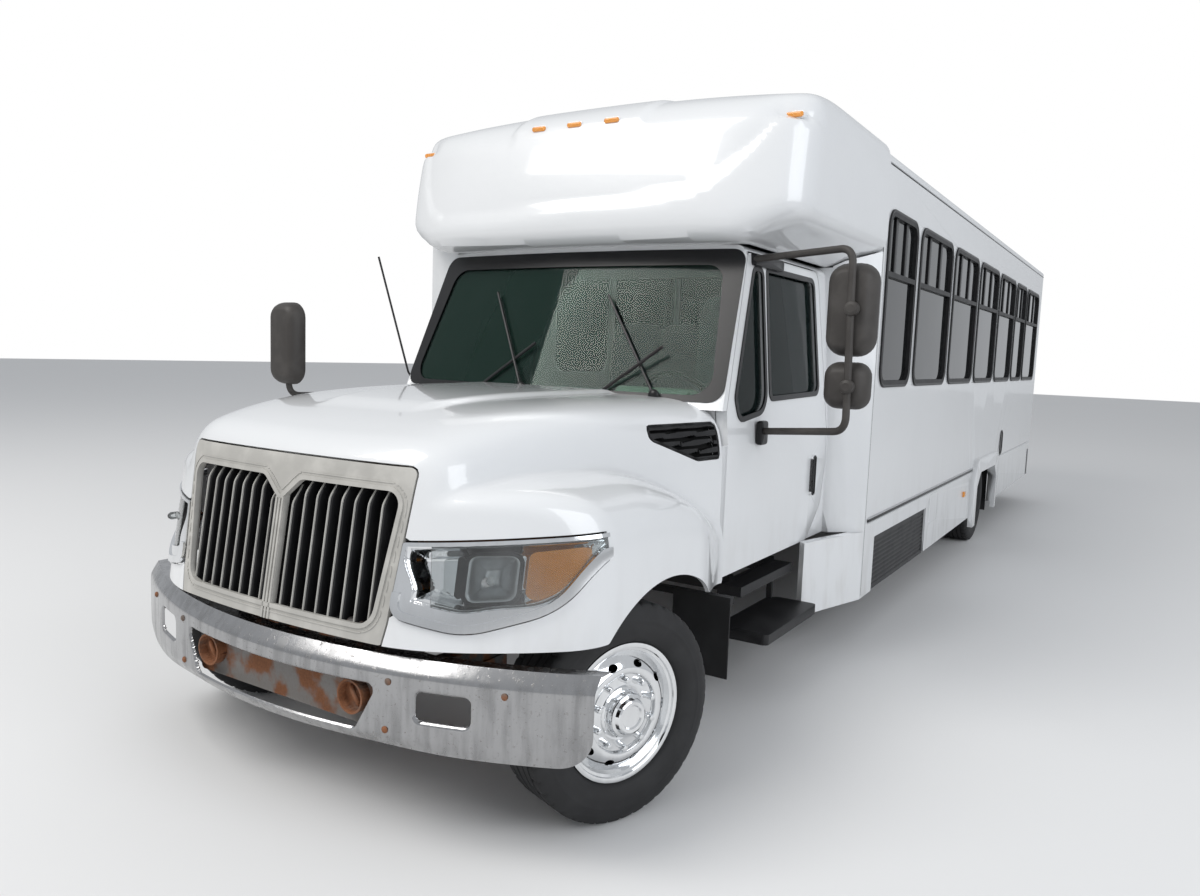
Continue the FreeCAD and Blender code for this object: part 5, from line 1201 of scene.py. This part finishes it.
# The other nodes keep the shape they have in the CAD
for finish, nodes in (
        (worn_steel, "tow_plate"), (rusty, "tow_sockets exhaust engine left_knuckle right_knuckle"),
        (frame_black, "chassis_frame leaf_springs front_axle rear_axle fuel_tank rear_bumper"),
        (silver, "radiator entry_front_leaf entry_rear_leaf"), (rubber, "mud_flaps"),
        (floor_rubber, "floor entry_steps"), (chrome, "left_rear_wheels right_rear_wheels"),
        (dash, "dashboard"), (white, "cab_shell driver_door left_wall right_wall roof rear_wall rear_door"),
        (windshield_glass, "windshield"), (door_pane_glass, "door_glass"),
        (entry_glass, "entry_front_glass entry_rear_glass"), (window_glass, "window_glass rear_door_glass"),
        (black, "cab_steps window_frames wipers antenna condenser_grille steering_wheel")):
    for node in nodes.split():
        dressed(node, finish)


# Floor, light and camera
SKY, SKY_STRENGTH = (0.93, 0.96, 1.0, 1), 0.60
FLOOR_REACH = 60


def studio():
    """Pale floor and a plain bright world; glass and metal see the same white. The large key light and the
    fill are added after it.
    """
    ground = bpy.data.meshes.new("studio_floor")
    corners = [(FLOOR_REACH * x, FLOOR_REACH * y, 0) for x, y in ((-1, -1), (1, -1), (1, 1), (-1, 1))]
    ground.from_pydata(corners, [], [(0, 1, 2, 3)])
    floor = bpy.data.objects.new("studio_floor", ground)
    bpy.context.scene.collection.objects.link(floor)
    pale = Finish("studio_floor", (0.72, 0.72, 0.72), Roughness=0.9)
    ground.materials.append(pale.material)
    world = bpy.data.worlds.new("studio")
    bpy.context.scene.world = world
    world.use_nodes = True
    tree = world.node_tree
    light, white_back = tree.nodes["Background"], tree.nodes.new("ShaderNodeBackground")
    light.inputs["Color"].default_value = SKY
    light.inputs["Strength"].default_value = SKY_STRENGTH
    white_back.inputs["Color"].default_value = (1, 1, 1, 1)
    path = tree.nodes.new("ShaderNodeLightPath")
    seen = tree.nodes.new("ShaderNodeMath")
    seen.operation = "MAXIMUM"
    tree.links.new(path.outputs["Is Camera Ray"], seen.inputs[0])
    tree.links.new(path.outputs["Is Transmission Ray"], seen.inputs[1])
    mix = tree.nodes.new("ShaderNodeMixShader")
    tree.links.new(seen.outputs[0], mix.inputs[0])
    tree.links.new(light.outputs[0], mix.inputs[1])
    tree.links.new(white_back.outputs[0], mix.inputs[2])
    tree.links.new(mix.outputs[0], tree.nodes["World Output"].inputs["Surface"])


def lamp(name, where, target, size, watts, colour=(1, 1, 1)):
    data = bpy.data.lights.new(name, "AREA")
    data.size, data.energy, data.color = size, watts, colour
    thing = bpy.data.objects.new(name, data)
    thing.location = where
    thing.rotation_euler = (Vector(target) - Vector(where)).to_track_quat("-Z", "Y").to_euler()
    bpy.context.scene.collection.objects.link(thing)


def camera():
    """Stands where the photograph was taken from: 32 degrees from the nose, 6 down, rolled 2."""
    yaw, pitch, roll = (math.radians(a) for a in (32.07, 6.063, 2.09))
    forward = Vector((-math.sin(yaw) * math.cos(pitch), math.cos(yaw) * math.cos(pitch), -math.sin(pitch)))
    right = Vector((math.cos(yaw), math.sin(yaw), 0))
    up = right.cross(forward)
    side = right * math.cos(roll) + up * math.sin(roll)
    top = up * math.cos(roll) - right * math.sin(roll)
    data = bpy.data.cameras.new("camera")
    data.lens, data.sensor_width, data.clip_end = 27.0, 36.0, 200
    thing = bpy.data.objects.new("camera", data)
    turn = Matrix((side, top, -forward)).transposed().to_4x4()
    thing.matrix_world = Matrix.Translation((2.716, -7.663, 1.753)) @ turn
    bpy.context.scene.collection.objects.link(thing)
    bpy.context.scene.camera = thing


studio()
lamp("key", (-5, -13, 13), (0, -2, 1), 9, 1650, (1.0, 0.98, 0.95))
lamp("fill", (14, -6, 7), (0, -1, 1.4), 10, 900, (0.93, 0.96, 1.0))
camera()
bpy.context.scene.view_settings.view_transform = "Standard"
